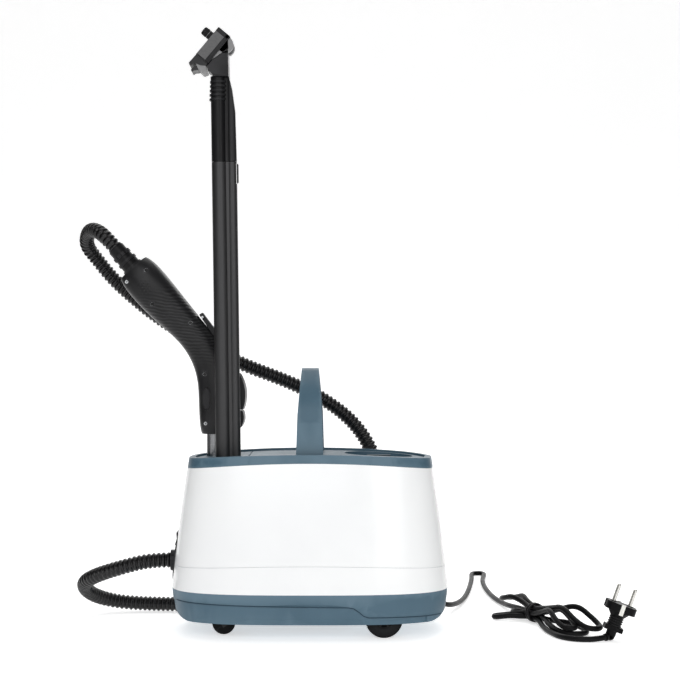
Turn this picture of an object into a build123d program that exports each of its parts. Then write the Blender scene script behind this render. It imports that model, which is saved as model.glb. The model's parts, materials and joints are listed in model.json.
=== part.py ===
"""Garment steamer: rolling base with tank, telescopic mast, tilting hanger head, steam handset.

Units are millimetres. X runs along the base, Y front to back (the front is -Y), Z up.
The origin is on the floor under the centre of the base.
"""
from build123d import *
from functools import cache
from math import atan2, cos, degrees, radians, sin, tan
import os

os.makedirs("parts", exist_ok=True)

# ---------------------------------------------------------------- driving dimensions
# Base housing: plan half-length and half-depth at each height of the outer skin.
PAN_BOTTOM_Z = 17.0
PAN_TOP_Z = 51.0
SKIN_LEVELS = ((51.0, 160.0, 86.3), (125.0, 151.5, 77.8), (212.0, 138.6, 66.0))
PLAN_POWER = 3.1
WALL = 2.8
PAN_END_RADIUS = 26.0

# Crowned parting surfaces: height in the middle and the drop 140 mm out to either side.
SEAM_CROWN = (82.0, 4.4)
RIM_BOTTOM_CROWN = (196.0, 8.0)
RIM_TOP_CROWN = (205.7, 6.0)
LID_CROWN = (203.4, 6.0)

# Opening in the rim, and the tank that drops into it.
MOUTH_HALF_X, MOUTH_HALF_Y = 133.6, 60.8
TANK_LEFT_X = -70.0
TANK_BOTTOM_Z = 112.0
TANK_GAP = 1.0
TANK_WALL = 2.4

# Carrying handle.
HANDLE_TOP_Z = 303.0
HANDLE_FOOT_Y = 56.0
HANDLE_THICKNESS = 9.0
HANDLE_WIDTH_FOOT, HANDLE_WIDTH_TOP = 31.0, 19.0

# Filling hatch in the tank lid.
HATCH_X, HATCH_Y = 80.0, 14.0
HATCH_HALF_X, HATCH_HALF_Y = 40.0, 34.0
HATCH_DEPTH = 12.0
CAP_RADIUS = 17.0

# Wheels and casters.
WHEEL_X = 84.0
WHEEL_RADIUS = 21.0
WHEEL_FACE_Y = 68.5
AXLE_END_Y = WHEEL_FACE_Y + 0.8
WHEEL_WIDTH = 13.5
HUB_RADIUS = 11.0
AXLE_RADIUS = 3.0
CASTER_X, CASTER_Y = -98.0, 42.0
CASTER_RADIUS = 13.2
CASTER_WIDTH = 13.0
CASTER_TRAIL = 6.0
RUNNING_FIT = 0.05

# Mast: a twin-lobe tube that leans a little to the left.
MAST_FOOT = (-95.1, -13.0, 200.0)
MAST_LEAN = 0.79
LOBE_LEFT_U, LOBE_RIGHT_U = -5.65, 8.85
LOBE_LEFT_R, LOBE_RIGHT_R, LOBE_WEB = 9.0, 5.8, 4.6
MAST_WALL = 1.5
MAST_CLEARANCE = 0.35
OUTER_TOP_W = 341.6
NECK_TOP_W = 441.0
PIVOT_U, PIVOT_W = 3.9, 476.0
HEAD_SLOPE = 49.3
KNOB_X = 2.0

# Handset, in its own vertical plane behind the mast.
HANDSET_Y = 22.0
HANDSET_BOTTOM_Z = 225.2
PLATE_SEAT_X = -84.0
POST_X = -113.4
POST_RADIUS = 9.75
POST_TOP_Z = 262.0
COLLAR_START = (-209.6, 420.6)
COLLAR_SLOPE = 48.0

# Hose and cord.
HOSE_DIAMETER = 18.0
CORD_DIAMETER = 6.4
CORD_FLOOR_Z = CORD_DIAMETER / 2

# Steam hose, from the outlet on the left end round to the handset collar.
HOSE_ROUTE = (
    (-163.0, 0.0, 78.5),
    (-187.0, 0.0, 78.5),
    (-224.0, 2.0, 69.0),
    (-257.0, 16.0, 57.0),
    (-275.0, 46.0, 43.0),
    (-270.0, 80.0, 25.0),
    (-245.0, 100.0, 13.5),
    (-205.0, 103.0, 9.8),
    (-150.0, 102.0, 9.3),
    (-80.0, 106.0, 9.3),
    (-20.0, 112.0, 10.0),
    (30.0, 114.0, 18.0),
    (66.0, 110.0, 48.0),
    (82.0, 104.0, 96.0),
    (85.0, 94.0, 150.0),
    (76.0, 86.0, 198.0),
    (52.0, 84.0, 236.0),
    (14.0, 84.0, 265.0),
    (-30.0, 84.0, 286.0),
    (-86.0, 86.0, 306.5),
    (-140.0, 89.0, 333.0),
    (-190.0, 93.0, 364.0),
    (-222.0, 96.0, 390.0),
    (-247.0, 97.0, 413.0),
    (-265.0, 95.0, 436.0),
    (-276.5, 84.0, 452.0),
    (-272.0, 66.0, 465.0),
    (-263.0, 46.0, 469.0),
    (-251.5, 29.0, 464.5),
    (-241.0, 22.0, 455.6),
    (-231.0, 22.0, 444.5),
)
HOSE_SPLIT = 18

# Mains cord: out of the right rear corner, back along the floor, round a tight bight, then forward to the hank.
CORD_ROUTE = (
    (155.0, 71.5, 17.0),
    (163.5, 81.5, 12.6),
    (172.0, 98.5, 9.2),
    (182.0, 128.0, 6.2),
    (191.0, 164.0, 4.2),
    (199.0, 204.0, 3.5),
    (206.5, 250.0, 3.4),
    (213.0, 298.0, 3.5),
    (218.0, 338.0, 3.4),
    (220.6, 366.0, 3.5),
    (222.0, 386.0, 3.4),
    (225.5, 396.5, 3.4),
    (236.3, 398.5, 3.4),
    (240.8, 388.8, 3.4),
    (238.5, 371.0, 3.5),
    (234.0, 344.0, 3.4),
    (231.0, 308.0, 3.5),
    (230.0, 266.0, 3.4),
    (231.0, 220.0, 3.5),
    (234.0, 178.0, 3.8),
    (238.5, 146.0, 4.4),
    (242.3, 122.0, 5.6),
    (244.6, 105.0, 7.0),
)
HANK_TIE = (266.0, 28.0, 12.2)
HANK_BACK = (246.0, 92.0)
HANK_FRONT = (302.0, -52.0)
HANK_BACK_RADIUS, HANK_FRONT_RADIUS = 17.0, 27.0
HANK_BACK_HEIGHT, HANK_FRONT_HEIGHT = 27.0, 35.0
HANK_NECK_RADIUS = 10.0
HANK_TIE_RADIUS = 12.0
TAIL_ROUTE = (
    (276.0, -60.0, 3.4),
    (280.0, -74.5, 3.4),
    (289.5, -86.0, 3.4),
    (303.0, -92.2, 3.4),
    (317.0, -92.0, 3.5),
    (329.0, -86.5, 4.4),
)
PLUG_FOOT = (335.6, -81.0, 5.3)
PLUG_LEAN = 20.0
BOOT_LENGTH, BOOT_RADIUS, BOOT_NUT_RADIUS = 34.0, 5.6, 7.2


# ---------------------------------------------------------------- shared shapes
def oval(half_x, half_y, power=PLAN_POWER):
    """A rounded oval face, |x/a|^n + |y/b|^n = 1, centred on the origin."""
    points = []
    for step in range(32):
        angle = radians(step * 360 / 32)
        reach = (abs(cos(angle) / half_x) ** power + abs(sin(angle) / half_y) ** power) ** (-1 / power)
        points.append((reach * cos(angle), reach * sin(angle)))
    return make_face(Spline(points, periodic=True))


@cache
def skin(inset=0.0):
    """The drafted outer volume of the housing above the pan, pulled in by inset all round."""
    sections = [Pos(0, 0, z) * oval(half_x - inset, half_y - inset) for z, half_x, half_y in SKIN_LEVELS]
    return loft(sections)


@cache
def below_crown(crown):
    """Everything under a crowned surface: crown is its middle height and its drop 140 mm out."""
    middle, drop = crown
    reach = 220.0
    edge = middle - drop * (reach / 140) ** 2
    arc = ThreePointArc((-reach, edge), (0, middle), (reach, edge))
    rest = Polyline((reach, edge), (reach, -50), (-reach, -50), (-reach, edge))
    return extrude(Plane.XZ * make_face([arc, rest]), 150, both=True)


@cache
def mouth(inset=0.0):
    """The straight-sided opening in the rim, pulled in by inset."""
    face = oval(MOUTH_HALF_X - inset, MOUTH_HALF_Y - inset)
    return Pos(0, 0, 90) * extrude(face, 140)


def slab(x0, x1, y0, y1, z0, z1):
    """A box from one corner to the other."""
    return Pos((x0 + x1) / 2, (y0 + y1) / 2, (z0 + z1) / 2) * Box(x1 - x0, y1 - y0, z1 - z0)


def rod_y(x, z, radius, y0, y1):
    """A round bar along Y, from one end to the other."""
    return Pos(x, (y0 + y1) / 2, z) * Rot(90, 0, 0) * Cylinder(radius, abs(y1 - y0))


def rod_z(x, y, radius, z0, z1):
    """A round bar along Z."""
    return Pos(x, y, (z0 + z1) / 2) * Cylinder(radius, z1 - z0)


def plate_xz(points, y0, y1):
    """A straight-sided plate whose outline is given in X and Z."""
    face = Plane.XZ * make_face(Polyline(*points, close=True))
    return Pos(0, (y0 + y1) / 2, 0) * extrude(face, (y1 - y0) / 2, both=True)


def bend_radii(route):
    """Each corner's radius: 0.45 of the shorter run beside it, over the tangent of half the turn."""
    radii = []
    for before, corner, after in zip(route, route[1:], route[2:]):
        run_in = Vector(*corner) - Vector(*before)
        run_out = Vector(*after) - Vector(*corner)
        half_turn = radians(run_in.get_angle(run_out) / 2)
        radii.append(0.45 * min(run_in.length, run_out.length) / tan(half_turn))
    return radii


def tube(route, diameter, radii, name):
    """A round cord or hose along straight runs joined by tangent arcs."""
    path = FilletPolyline(*route, radius=radii)
    start = Plane(origin=path @ 0, z_dir=path % 0)
    solid = sweep(start * Circle(diameter / 2), path=path)
    section = 3.141593 * diameter**2 / 4
    print(name, "length", round(path.length), "radii", [round(radius) for radius in radii])
    print(name, "volume over section times length", round(solid.volume / (section * path.length), 4))
    return solid


# ---------------------------------------------------------------- base
def wheel_well(side, inner):
    """Housing round one large wheel, or the hollow inside it."""
    radius = WHEEL_RADIUS + (2.2 if inner else 4.2)
    near = WHEEL_FACE_Y - WHEEL_WIDTH - (1.6 if inner else 3.6)
    far = WHEEL_FACE_Y + (1.4 if inner else 3.4)
    arch = rod_y(WHEEL_X, WHEEL_RADIUS, radius, side * near, side * far)
    low = min(side * near, side * far)
    high = max(side * near, side * far)
    return arch + slab(WHEEL_X - radius, WHEEL_X + radius, low, high, -5, WHEEL_RADIUS)


def make_base_pan():
    """Blue lower tray with rounded ends, a stepped styling line, wheel wells and caster pockets."""
    top_x, top_y = SKIN_LEVELS[0][1:]
    low = Pos(0, 0, PAN_BOTTOM_Z) * oval(top_x - 4, top_y - 3.2)
    outline = loft([low, Pos(0, 0, PAN_TOP_Z) * oval(top_x, top_y)])
    ends = slab(-top_x, top_x, -100, 100, PAN_BOTTOM_Z, PAN_TOP_Z + PAN_END_RADIUS)
    low_edges = ends.edges().filter_by(Axis.Y).sort_by(Axis.Z)[:2]
    ends = fillet(low_edges, PAN_END_RADIUS)
    hollow = loft([Pos(0, 0, 20) * oval(top_x - 34, top_y - 8), Pos(0, 0, 30) * oval(top_x - 9, top_y - 5.6),
                   Pos(0, 0, PAN_TOP_Z + 1) * oval(top_x - WALL, top_y - WALL)])
    shell = (outline & ends) - hollow
    inside = outline & ends
    for side in (-1, 1):
        shell += wheel_well(side, inner=False) & inside
        pocket_x = CASTER_X + CASTER_TRAIL
        shell += rod_z(pocket_x, side * CASTER_Y, 24.5, PAN_BOTTOM_Z + 0.5, 37) & inside
        shell += rod_z(pocket_x, side * CASTER_Y, 6.0, 36, PAN_TOP_Z)
    for side in (-1, 1):
        pocket_x = CASTER_X + CASTER_TRAIL
        shell -= wheel_well(side, inner=True)
        shell -= rod_z(pocket_x, side * CASTER_Y, 22.5, 0, 34.5)
        shell -= rod_z(pocket_x, side * CASTER_Y, 3.0 + RUNNING_FIT, 30, PAN_TOP_Z + 1)
    shell -= rod_y(WHEEL_X, WHEEL_RADIUS, AXLE_RADIUS, -AXLE_END_Y, AXLE_END_Y)
    shell -= styling_step(top_x, top_y)
    shell -= gland_place() * Pos(0, 0, -20) * Cylinder(BOOT_RADIUS + 0.1, 52)
    shell -= gland_place() * Pos(0, 0, -BOOT_LENGTH - 10) * Cylinder(BOOT_NUT_RADIUS + 0.4, 20)
    return shell


def styling_step(top_x, top_y):
    """The shallow step along the front and back of the pan, under a line that dips near the right."""
    low, high = Pos(0, 0, PAN_BOTTOM_Z - 2), Pos(0, 0, PAN_TOP_Z)
    rim = loft([low * oval(top_x + 6, top_y + 6), high * oval(top_x + 8, top_y + 8)])
    core = loft([low * oval(top_x - 5.2, top_y - 4.4), high * oval(top_x - 1.0, top_y - 1.0)])
    upper = Spline([(-175, 40), (-60, 38.4), (44, 37.0), (54, 33.5), (59, 29), (66, 25.6), (132, 24.6)],
                   tangents=((1, 0), (1, 0)))
    lower = Polyline((132, 24.6), (132, 10), (-175, 10), (-175, 40))
    region = extrude(Plane.XZ * make_face([upper, lower]), 120, both=True)
    return (rim - core) & region


def make_chassis_plate():
    """Flat inner plate that carries the boiler and the board."""
    plate = Pos(0, 0, PAN_TOP_Z + 0.2) * extrude(oval(150, 76), 3.0)
    for x in (-30, 125):
        plate -= rod_z(x, 0, 4, 40, 60)
    return plate


def panel_place():
    """Frame on the left end of the housing, its z axis square to the drafted skin."""
    return Pos(-155.4, 0, 86) * Rot(0, -83.2, 0)


@cache
def panel_solid():
    """The oval panel on the left end, from behind the skin to just proud of it."""
    face = Ellipse(31, 25)
    return panel_place() * Pos(0, 0, -7.5) * extrude(face, 9.0)


def make_lower_band():
    """White band of the housing between the blue pan and the crowned seam."""
    band = (skin() - skin(WALL)) & below_crown(SEAM_CROWN)
    return band - panel_solid()


def make_body_shell():
    """White upper housing, from the seam up to the blue rim."""
    under = below_crown((SEAM_CROWN[0] + 0.5, SEAM_CROWN[1]))
    shell = (skin() - skin(WALL)) & below_crown(RIM_BOTTOM_CROWN)
    return shell - under - panel_solid()


def make_top_rim():
    """Blue rim round the top of the housing, with the straight mouth through it."""
    ring = (skin() - mouth()) & below_crown(RIM_TOP_CROWN)
    ring -= below_crown(RIM_BOTTOM_CROWN)
    ring = ring - slab(TANK_LEFT_X - 6, TANK_LEFT_X, -50, 50, 180, 190)
    return ring


def make_top_deck():
    """Fixed part of the deck at the left, round the mast and the handset post."""
    deck = mouth(0.6) & slab(-200, TANK_LEFT_X - TANK_GAP, -100, 100, 194.5, 260)
    deck &= below_crown(LID_CROWN)
    deck -= mast(lobes(0.0), -30, 30)
    return deck - rod_z(POST_X, HANDSET_Y, POST_RADIUS, 150, 260)


# ---------------------------------------------------------------- tank
def tank_volume(inset):
    """Plan of the tank, pulled in by inset, as a tall bar."""
    return mouth(TANK_GAP + inset) & slab(TANK_LEFT_X + inset, 200, -100, 100, 90, 260)


def make_water_tank():
    """Open-topped tank with a valve hole in its floor."""
    outer = tank_volume(0) & slab(-200, 200, -100, 100, TANK_BOTTOM_Z, 188)
    inner = tank_volume(TANK_WALL) & slab(-200, 200, -100, 100, TANK_BOTTOM_Z + TANK_WALL, 189)
    return outer - inner - rod_z(20, 0, 8, 100, 120)


def make_tank_lid():
    """Blue crowned lid on the tank, with the recessed filling hatch."""
    lid = tank_volume(0) & slab(-200, 200, -100, 100, 188, 260) & below_crown(LID_CROWN)
    under = tank_volume(TANK_WALL) & below_crown((LID_CROWN[0] - TANK_WALL, LID_CROWN[1]))
    floor_z = 203 - HATCH_DEPTH
    pocket = Pos(HATCH_X, HATCH_Y, floor_z - 2) * extrude(Ellipse(HATCH_HALF_X + 2, HATCH_HALF_Y + 2), 40)
    lid = (lid - under) + (lid & pocket)
    hatch = Pos(HATCH_X, HATCH_Y, floor_z) * extrude(Ellipse(HATCH_HALF_X, HATCH_HALF_Y), 40)
    return lid - hatch - rod_z(HATCH_X, HATCH_Y, CAP_RADIUS - 4.6, 180, 200)


def make_tank_handle():
    """Arched strap from front to back, wide at the feet and narrow at the top."""
    half = HANDLE_FOOT_Y
    inner = half - HANDLE_THICKNESS
    shoulder = 268.0
    outside = [Polyline((-half, 200), (-half + 4, 240)),
               Spline([(-half + 4, 240), (-half + 12, shoulder), (0, HANDLE_TOP_Z),
                       (half - 12, shoulder), (half - 4, 240)], tangents=((0.1, 1), (0.1, -1))),
               Polyline((half - 4, 240), (half, 200))]
    inside = [Polyline((half, 200), (inner, 200), (inner - 4, 240)),
              Spline([(inner - 4, 240), (inner - 11, shoulder - 5),
                      (0, HANDLE_TOP_Z - 7), (-inner + 11, shoulder - 5),
                      (-inner + 4, 240)], tangents=((-0.1, 1), (-0.1, -1))),
              Polyline((-inner + 4, 240), (-inner, 200), (-half, 200))]
    strap = extrude(Plane.YZ * make_face(outside + inside), 24, both=True)
    foot, top = HANDLE_WIDTH_FOOT / 2, HANDLE_WIDTH_TOP / 2
    sides = ((-foot, 199), (foot, 199), (foot - 1.5, 250), (top, 306), (-top, 306), (-foot + 1.5, 250))
    taper = plate_xz(sides, -90, 90)
    return (strap & taper) - below_crown(LID_CROWN)


def make_tank_cap():
    """Round filling cap with a grip bar, seated in the hatch."""
    floor_z = 203 - HATCH_DEPTH
    cap = rod_z(HATCH_X, HATCH_Y, CAP_RADIUS, floor_z + 0.3, floor_z + 4)
    cap += slab(HATCH_X - 14, HATCH_X + 14, HATCH_Y - 2.5, HATCH_Y + 2.5, floor_z + 3, floor_z + 9.5)
    return cap + rod_z(HATCH_X, HATCH_Y, CAP_RADIUS - 5, floor_z - 6, floor_z + 1)


def make_tank_valve():
    """Spring-loaded stopper in the floor of the tank."""
    stem = rod_z(20, 0, 3, 106.5, 122)
    return stem + rod_z(20, 0, 11, TANK_BOTTOM_Z + TANK_WALL + 0.1, TANK_BOTTOM_Z + TANK_WALL + 3)


# ---------------------------------------------------------------- boiler and electrics
def make_boiler_lower():
    """Cast lower half of the boiler, on four feet."""
    cup = Pos(24, 0, 72) * Box(96, 76, 28)
    cup = fillet(cup.edges().filter_by(Axis.Z), 18)
    cup -= Pos(24, 0, 76) * Box(78, 58, 24)
    for x in (-8, 56):
        for y in (-26, 26):
            cup += rod_z(x, y, 5, PAN_TOP_Z + 3.2, 60)
    return cup


def make_boiler_cover():
    """Lid of the boiler, with the steam stub and the inlet stub."""
    cover = Pos(24, 0, 89) * Box(96, 76, 6)
    cover = fillet(cover.edges().filter_by(Axis.Z), 18)
    cover += rod_z(-12, 0, 5, 90, 100)
    return cover + rod_z(20, 0, 7, 90, 104)


def make_heating_element():
    """Round heater rod bent into a ring on the boiler floor."""
    return Pos(24, 0, 68.2) * Torus(22, 4)


def make_thermostat():
    """Disc thermostat on the boiler cover."""
    return rod_z(50, 12, 8, 92, 99) + slab(41, 59, 10, 14, 99, 101)


def make_pump():
    """Solenoid pump beside the boiler."""
    pump = slab(84, 118, -16, 16, 54.2, 84)
    return pump + Pos(101, 0, 90) * Cylinder(7, 14)


def make_steam_pipe():
    """Metal pipe from the boiler cover to the hose outlet."""
    route = ((-12, 0, 100), (-12, 0, 106), (-30, 0, 107), (-100, 0, 90), (-134, 0, 78.6), (-146, 0, 78.5))
    path = FilletPolyline(*route, radius=[2.5, 6, 20, 20])
    start = Plane(origin=path @ 0, z_dir=path % 0)
    return sweep(start * Circle(4), path=path)


def make_control_board():
    """Circuit board with its relays, standing on the chassis plate."""
    board = slab(-74, -34, -40, 40, 57.2, 58.8)
    for x, y in ((-70, -36), (-38, -36), (-70, 36), (-38, 36)):
        board += rod_z(x, y, 2.5, 54.2, 58)
    for y in (-22, 0, 22):
        board += slab(-66, -46, y - 7, y + 7, 58.8, 72)
    return board


def make_hose_panel():
    """Black oval panel on the left end, with the switch pocket and the hose hole."""
    panel = panel_solid()
    panel -= switch_pocket(0.6)
    return panel - Pos(-155, 0, 78.5) * Rot(0, 90, 0) * Cylinder(8, 40)


def switch_pocket(grow):
    """Slot for the rocker, in the upper part of the panel."""
    return panel_place() * Pos(18.5, 0, 0) * Box(15 + 2 * grow, 24 + 2 * grow, 40)


def make_hose_outlet():
    """Threaded outlet with its flange, where the hose starts."""
    outlet = Pos(-154, 0, 78.5) * Rot(0, 90, 0) * Cylinder(7.9, 16)
    flange = Pos(-160, 0, 78.5) * Rot(0, 90, 0) * Cylinder(12.2, 6)
    return (flange - panel_solid()) + outlet - Pos(-150, 0, 78.5) * Rot(0, 90, 0) * Cylinder(4, 9)


def make_power_switch():
    """Rocker of the mains switch, a shallow V that tips about Y."""
    outline = Polyline((-7.3, 1.4), (-7.3, 3.4), (0, 2.2), (7.3, 3.4), (7.3, 1.4), (4, -5), (-4, -5), close=True)
    rocker = Pos(0, 0, 0) * extrude(Plane.XZ * make_face(outline), 11.6, both=True)
    return panel_place() * Pos(18.5, 0, 0) * rocker


# ---------------------------------------------------------------- wheels
def make_rear_axle():
    """Steel rod through both large wheels."""
    return rod_y(WHEEL_X, WHEEL_RADIUS, AXLE_RADIUS, -AXLE_END_Y, AXLE_END_Y)


def make_large_wheel(side):
    """Hub and tyre of one large wheel, as two solids."""
    outer = side * WHEEL_FACE_Y
    inner = side * (WHEEL_FACE_Y - WHEEL_WIDTH)
    tyre = rod_y(WHEEL_X, WHEEL_RADIUS, WHEEL_RADIUS, inner, outer)
    tyre = fillet(tyre.edges(), 2.0) - rod_y(WHEEL_X, WHEEL_RADIUS, HUB_RADIUS, 0, side * 100)
    hub = rod_y(WHEEL_X, WHEEL_RADIUS, HUB_RADIUS, inner + side, outer - side)
    hub -= rod_y(WHEEL_X, WHEEL_RADIUS, HUB_RADIUS - 2.2, outer - side * 3.5, outer)
    hub += rod_y(WHEEL_X, WHEEL_RADIUS, 5.5, inner + side, outer - side)
    hub -= rod_y(WHEEL_X, WHEEL_RADIUS, AXLE_RADIUS + RUNNING_FIT, 0, side * 100)
    return Compound(children=[tyre, hub])


def make_caster_fork(side):
    """Swivelling fork: stem, crown, two cheeks and the pin."""
    y = side * CASTER_Y
    stem_x = CASTER_X + CASTER_TRAIL
    fork = rod_z(stem_x, y, 3.0, 30, 50) + rod_z(stem_x, y, 10, 28.2, 31.5)
    for cheek in (-1, 1):
        mid = y + cheek * (CASTER_WIDTH / 2 + 1.7)
        plate = plate_xz(((stem_x + 6, 31), (stem_x - 6, 31), (CASTER_X - 4, 15),
                          (CASTER_X, 8.5), (CASTER_X + 5, 12)),
                         mid - 1.2, mid + 1.2)
        fork += plate
    return fork + rod_y(CASTER_X, CASTER_RADIUS, 1.5, y - CASTER_WIDTH / 2 - 2.6, y + CASTER_WIDTH / 2 + 2.6)


def make_caster_wheel(side):
    """Small rounded roller of one caster."""
    y = side * CASTER_Y
    half = CASTER_WIDTH / 2
    wheel = fillet(rod_y(CASTER_X, CASTER_RADIUS, CASTER_RADIUS, y - half, y + half).edges(), 4.5)
    return wheel - rod_y(CASTER_X, CASTER_RADIUS, 1.5 + RUNNING_FIT, y - 20, y + 20)


# ---------------------------------------------------------------- mast
def lobes(inset):
    """Twin-lobe section of the mast, pulled in by inset."""
    left = Pos(LOBE_LEFT_U, 0) * Circle(LOBE_LEFT_R - inset)
    right = Pos(LOBE_RIGHT_U, 0) * Circle(LOBE_RIGHT_R - inset)
    middle = (LOBE_LEFT_U + LOBE_RIGHT_U) / 2
    web = Pos(middle, 0) * Rectangle(LOBE_RIGHT_U - LOBE_LEFT_U, 2 * (LOBE_WEB - inset))
    return left + right + web


def on_mast(solid):
    """Stand a solid from the mast's own frame on the leaning mast."""
    return Pos(*MAST_FOOT) * Rot(0, -MAST_LEAN, 0) * solid


def mast(section, low, high):
    """A length of the mast with the given section."""
    return on_mast(Pos(0, 0, low) * extrude(section, high - low))


def make_mast_socket():
    """Block under the deck that holds the mast tube and the handset post."""
    block = slab(-124, -72.5, -25, 36, 150, 194.4)
    return block - mast(lobes(0.0), -45, 30) - rod_z(POST_X, HANDSET_Y, POST_RADIUS, 155, 260)


def make_mast_outer_tube():
    """Fixed lower tube, open at the top, with the latch slot."""
    tube_solid = mast(lobes(0.0), -45, OUTER_TOP_W) - mast(lobes(MAST_WALL), -43, OUTER_TOP_W + 1)
    slot = on_mast(Pos(14.2, 0, 328.5) * Box(4.4, 6.8, 24))
    return tube_solid - slot


def make_mast_inner_tube():
    """Sliding tube inside the outer one."""
    outer = mast(lobes(MAST_WALL + MAST_CLEARANCE), 40, OUTER_TOP_W + 0.8)
    return outer - mast(lobes(MAST_WALL + MAST_CLEARANCE + 1.2), 39, OUTER_TOP_W + 2)


# Outline of the stop that the head rests on, in the mast's frame.
STOP_OUTLINE = (
    (7.0, 470.8), (-10.9, 459.1), (-17.0, 452.4), (-16.6, 446.3), (-13.7, 444.6), (-10.4, 439.9), (7.0, 439.9),
)


def make_mast_neck():
    """Plastic neck on the inner tube: ribbed left lobe, tapering right lobe, head stop, tongue and pin."""
    low = OUTER_TOP_W + 0.8
    body = Pos(0, 0, low) * extrude(lobes(0.0), NECK_TOP_W - low)
    outline = ((-20, low), (14.6, low), (13.6, 400), (10.4, 426), (7.0, 441), (7.0, 445), (-20, 445))
    keep = plate_xz(outline, -20, 20)
    body &= keep
    for rib in range(5):
        body += Pos(LOBE_LEFT_U - 0.5 + 0.25 * rib, 0, 414.3 + 5.1 * rib) * Cylinder(LOBE_LEFT_R + 1.2, 2.4)
    tongue = slab(-0.5, 7.0, -5.7, 5.7, NECK_TOP_W - 1, PIVOT_W - 7)
    tongue += rod_y(PIVOT_U, PIVOT_W, 8.2, -5.7, 5.7) + rod_y(PIVOT_U, PIVOT_W, 2.5, -11.0, 11.0)
    stop = plate_xz(STOP_OUTLINE, -12, 12)
    for y0, y1 in ((-20, -5.7), (5.7, 20)):
        stop -= rod_y(PIVOT_U, PIVOT_W, 9.9, y0, y1)
    return on_mast(body + tongue + stop)


def make_mast_latch():
    """Push button at the top of the outer tube."""
    button = Pos(15.4, 0, 328.5) * Box(2.0, 6.0, 22.6)
    return on_mast(fillet(button.edges().filter_by(Axis.Y).sort_by(Axis.X)[-2:], 1.4))


# ---------------------------------------------------------------- hanger head, in the mast's frame
def head_place():
    """Frame on the tilted block: x runs down its length to the left, z out of its upper face."""
    slope = radians(HEAD_SLOPE)
    down = (-cos(slope), 0, -sin(slope))
    out = (-sin(slope), 0, cos(slope))
    return Plane(origin=(PIVOT_U, 0, PIVOT_W), x_dir=down, z_dir=out).location


def make_head_block():
    """Tilted block of the head, notched for the pivot tongue and recessed for the knob."""
    block = head_place() * Pos(9.9, 0, 9.75) * Box(40.6, 31, 17.1)
    block = fillet(block.edges().filter_by(Axis.Y), 1.2)
    notch = rod_y(PIVOT_U, PIVOT_W, 9.0, -6.2, 6.2)
    pin_hole = rod_y(PIVOT_U, PIVOT_W, 2.5 + RUNNING_FIT, -11.5, 11.5)
    return on_mast(block - notch - pin_hole - knob_hole())


def knob_hole():
    """Blind hole in the upper face for the knob's stem, with the shallow recess round it."""
    hole = Pos(0, 0, 15) * Cylinder(3.05, 8) + Pos(0, 0, 18.3) * Cylinder(6.4, 1.0)
    return head_place() * Pos(KNOB_X, 0, 0) * hole


def make_head_hinge():
    """Grey hinge barrels either side of the tongue, with the wedge and the foot under the block."""
    solids = []
    notch = plate_xz(((7.0, 471.5), (-10.7, 459.9), (-30, 447), (-30, 430), (7.0, 430)), -20, 20)
    for side in (-1, 1):
        y0, y1 = sorted((side * 6.2, side * 13.0))
        barrel = rod_y(PIVOT_U, PIVOT_W, 9.4, y0, y1)
        barrel += head_place() * plate_xz(((-6, 1.0), (24, 1.0), (21.7, 0.4), (1.4, -6.0)), y0, y1)
        barrel -= rod_y(PIVOT_U, PIVOT_W, 2.5 + RUNNING_FIT, -11.5, 11.5)
        barrel -= head_place() * Pos(14.2, 0, 16.2) * Box(60, 40, 30)
        solids.append(on_mast(barrel - notch))
    foot = ((38.3, 12.1), (36.7, 6.8), (33.1, 1.9), (36.8, -4.1), (41.6, -1.6), (42.0, 0.2), (41.6, 5.7))
    solids.append(on_mast(head_place() * plate_xz(foot, -12.5, 12.5)))
    return Compound(children=solids)


def make_head_jaws():
    """Two hooked fingers at the low end of the block."""
    upper = (
        (30.2, 1.2), (30.2, 18.3), (43.2, 18.6), (44.7, 16.1), (40.7, 13.6), (38.3, 12.1), (36.7, 6.8), (33.1, 1.9),
    )
    lower = ((39.6, 9.6), (41.1, 11.9), (47.8, 12.1), (48.6, 9.6), (45.5, 8.5), (42.2, 5.1), (41.6, 5.7))
    fingers = [head_place() * plate_xz(upper, -14, 14), head_place() * plate_xz(lower, -11, 11)]
    return Compound(children=[on_mast(finger) for finger in fingers])


def make_head_knob():
    """Tapered clamping knob on the upper face."""
    knob = Pos(0, 0, 18.3 + 7) * Cone(5.5, 4.3, 14) + Pos(0, 0, 17) * Cylinder(3.0, 6)
    knob -= Pos(0, 0, 18.3 + 6) * (Cylinder(8, 0.8) - Cylinder(4.6, 0.8))
    return on_mast(head_place() * Pos(KNOB_X, 0, 0) * knob)


# ---------------------------------------------------------------- handset
# Sections down the handset: centre X and Z, slope of the axis below the horizontal,
# half-width across the side view, and half-depth along Y.
HANDSET_SECTIONS = (
    (-209.6, 420.6, 48.0, 20.0, 17.0),
    (-203.5, 413.8, 48.0, 22.6, 19.6),
    (-188.5, 396.5, 47.5, 23.6, 22.0),
    (-157.3, 362.5, 47.0, 20.4, 20.0),
    (-136.3, 339.0, 54.0, 19.0, 18.0),
    (-119.0, 313.0, 66.0, 21.4, 18.0),
    (-109.0, 284.0, 82.0, 24.6, 20.0),
    (-107.4, 256.0, 90.0, 24.8, 21.0),
    (-109.3, HANDSET_BOTTOM_Z, 90.0, 19.3, 17.0),
)


def handset_volume(inset=0.0):
    """The handset's flowing outer volume, pulled in by inset."""
    faces = []
    for x, z, slope, half_width, half_depth in HANDSET_SECTIONS:
        down = Vector(cos(radians(slope)), 0, -sin(radians(slope)))
        across = Vector(sin(radians(slope)), 0, cos(radians(slope)))
        plane = Plane(origin=(x, HANDSET_Y, z), x_dir=across, z_dir=down)
        faces.append(plane * oval(half_width - inset, half_depth - inset, 2.4))
    return loft(faces)


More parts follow.
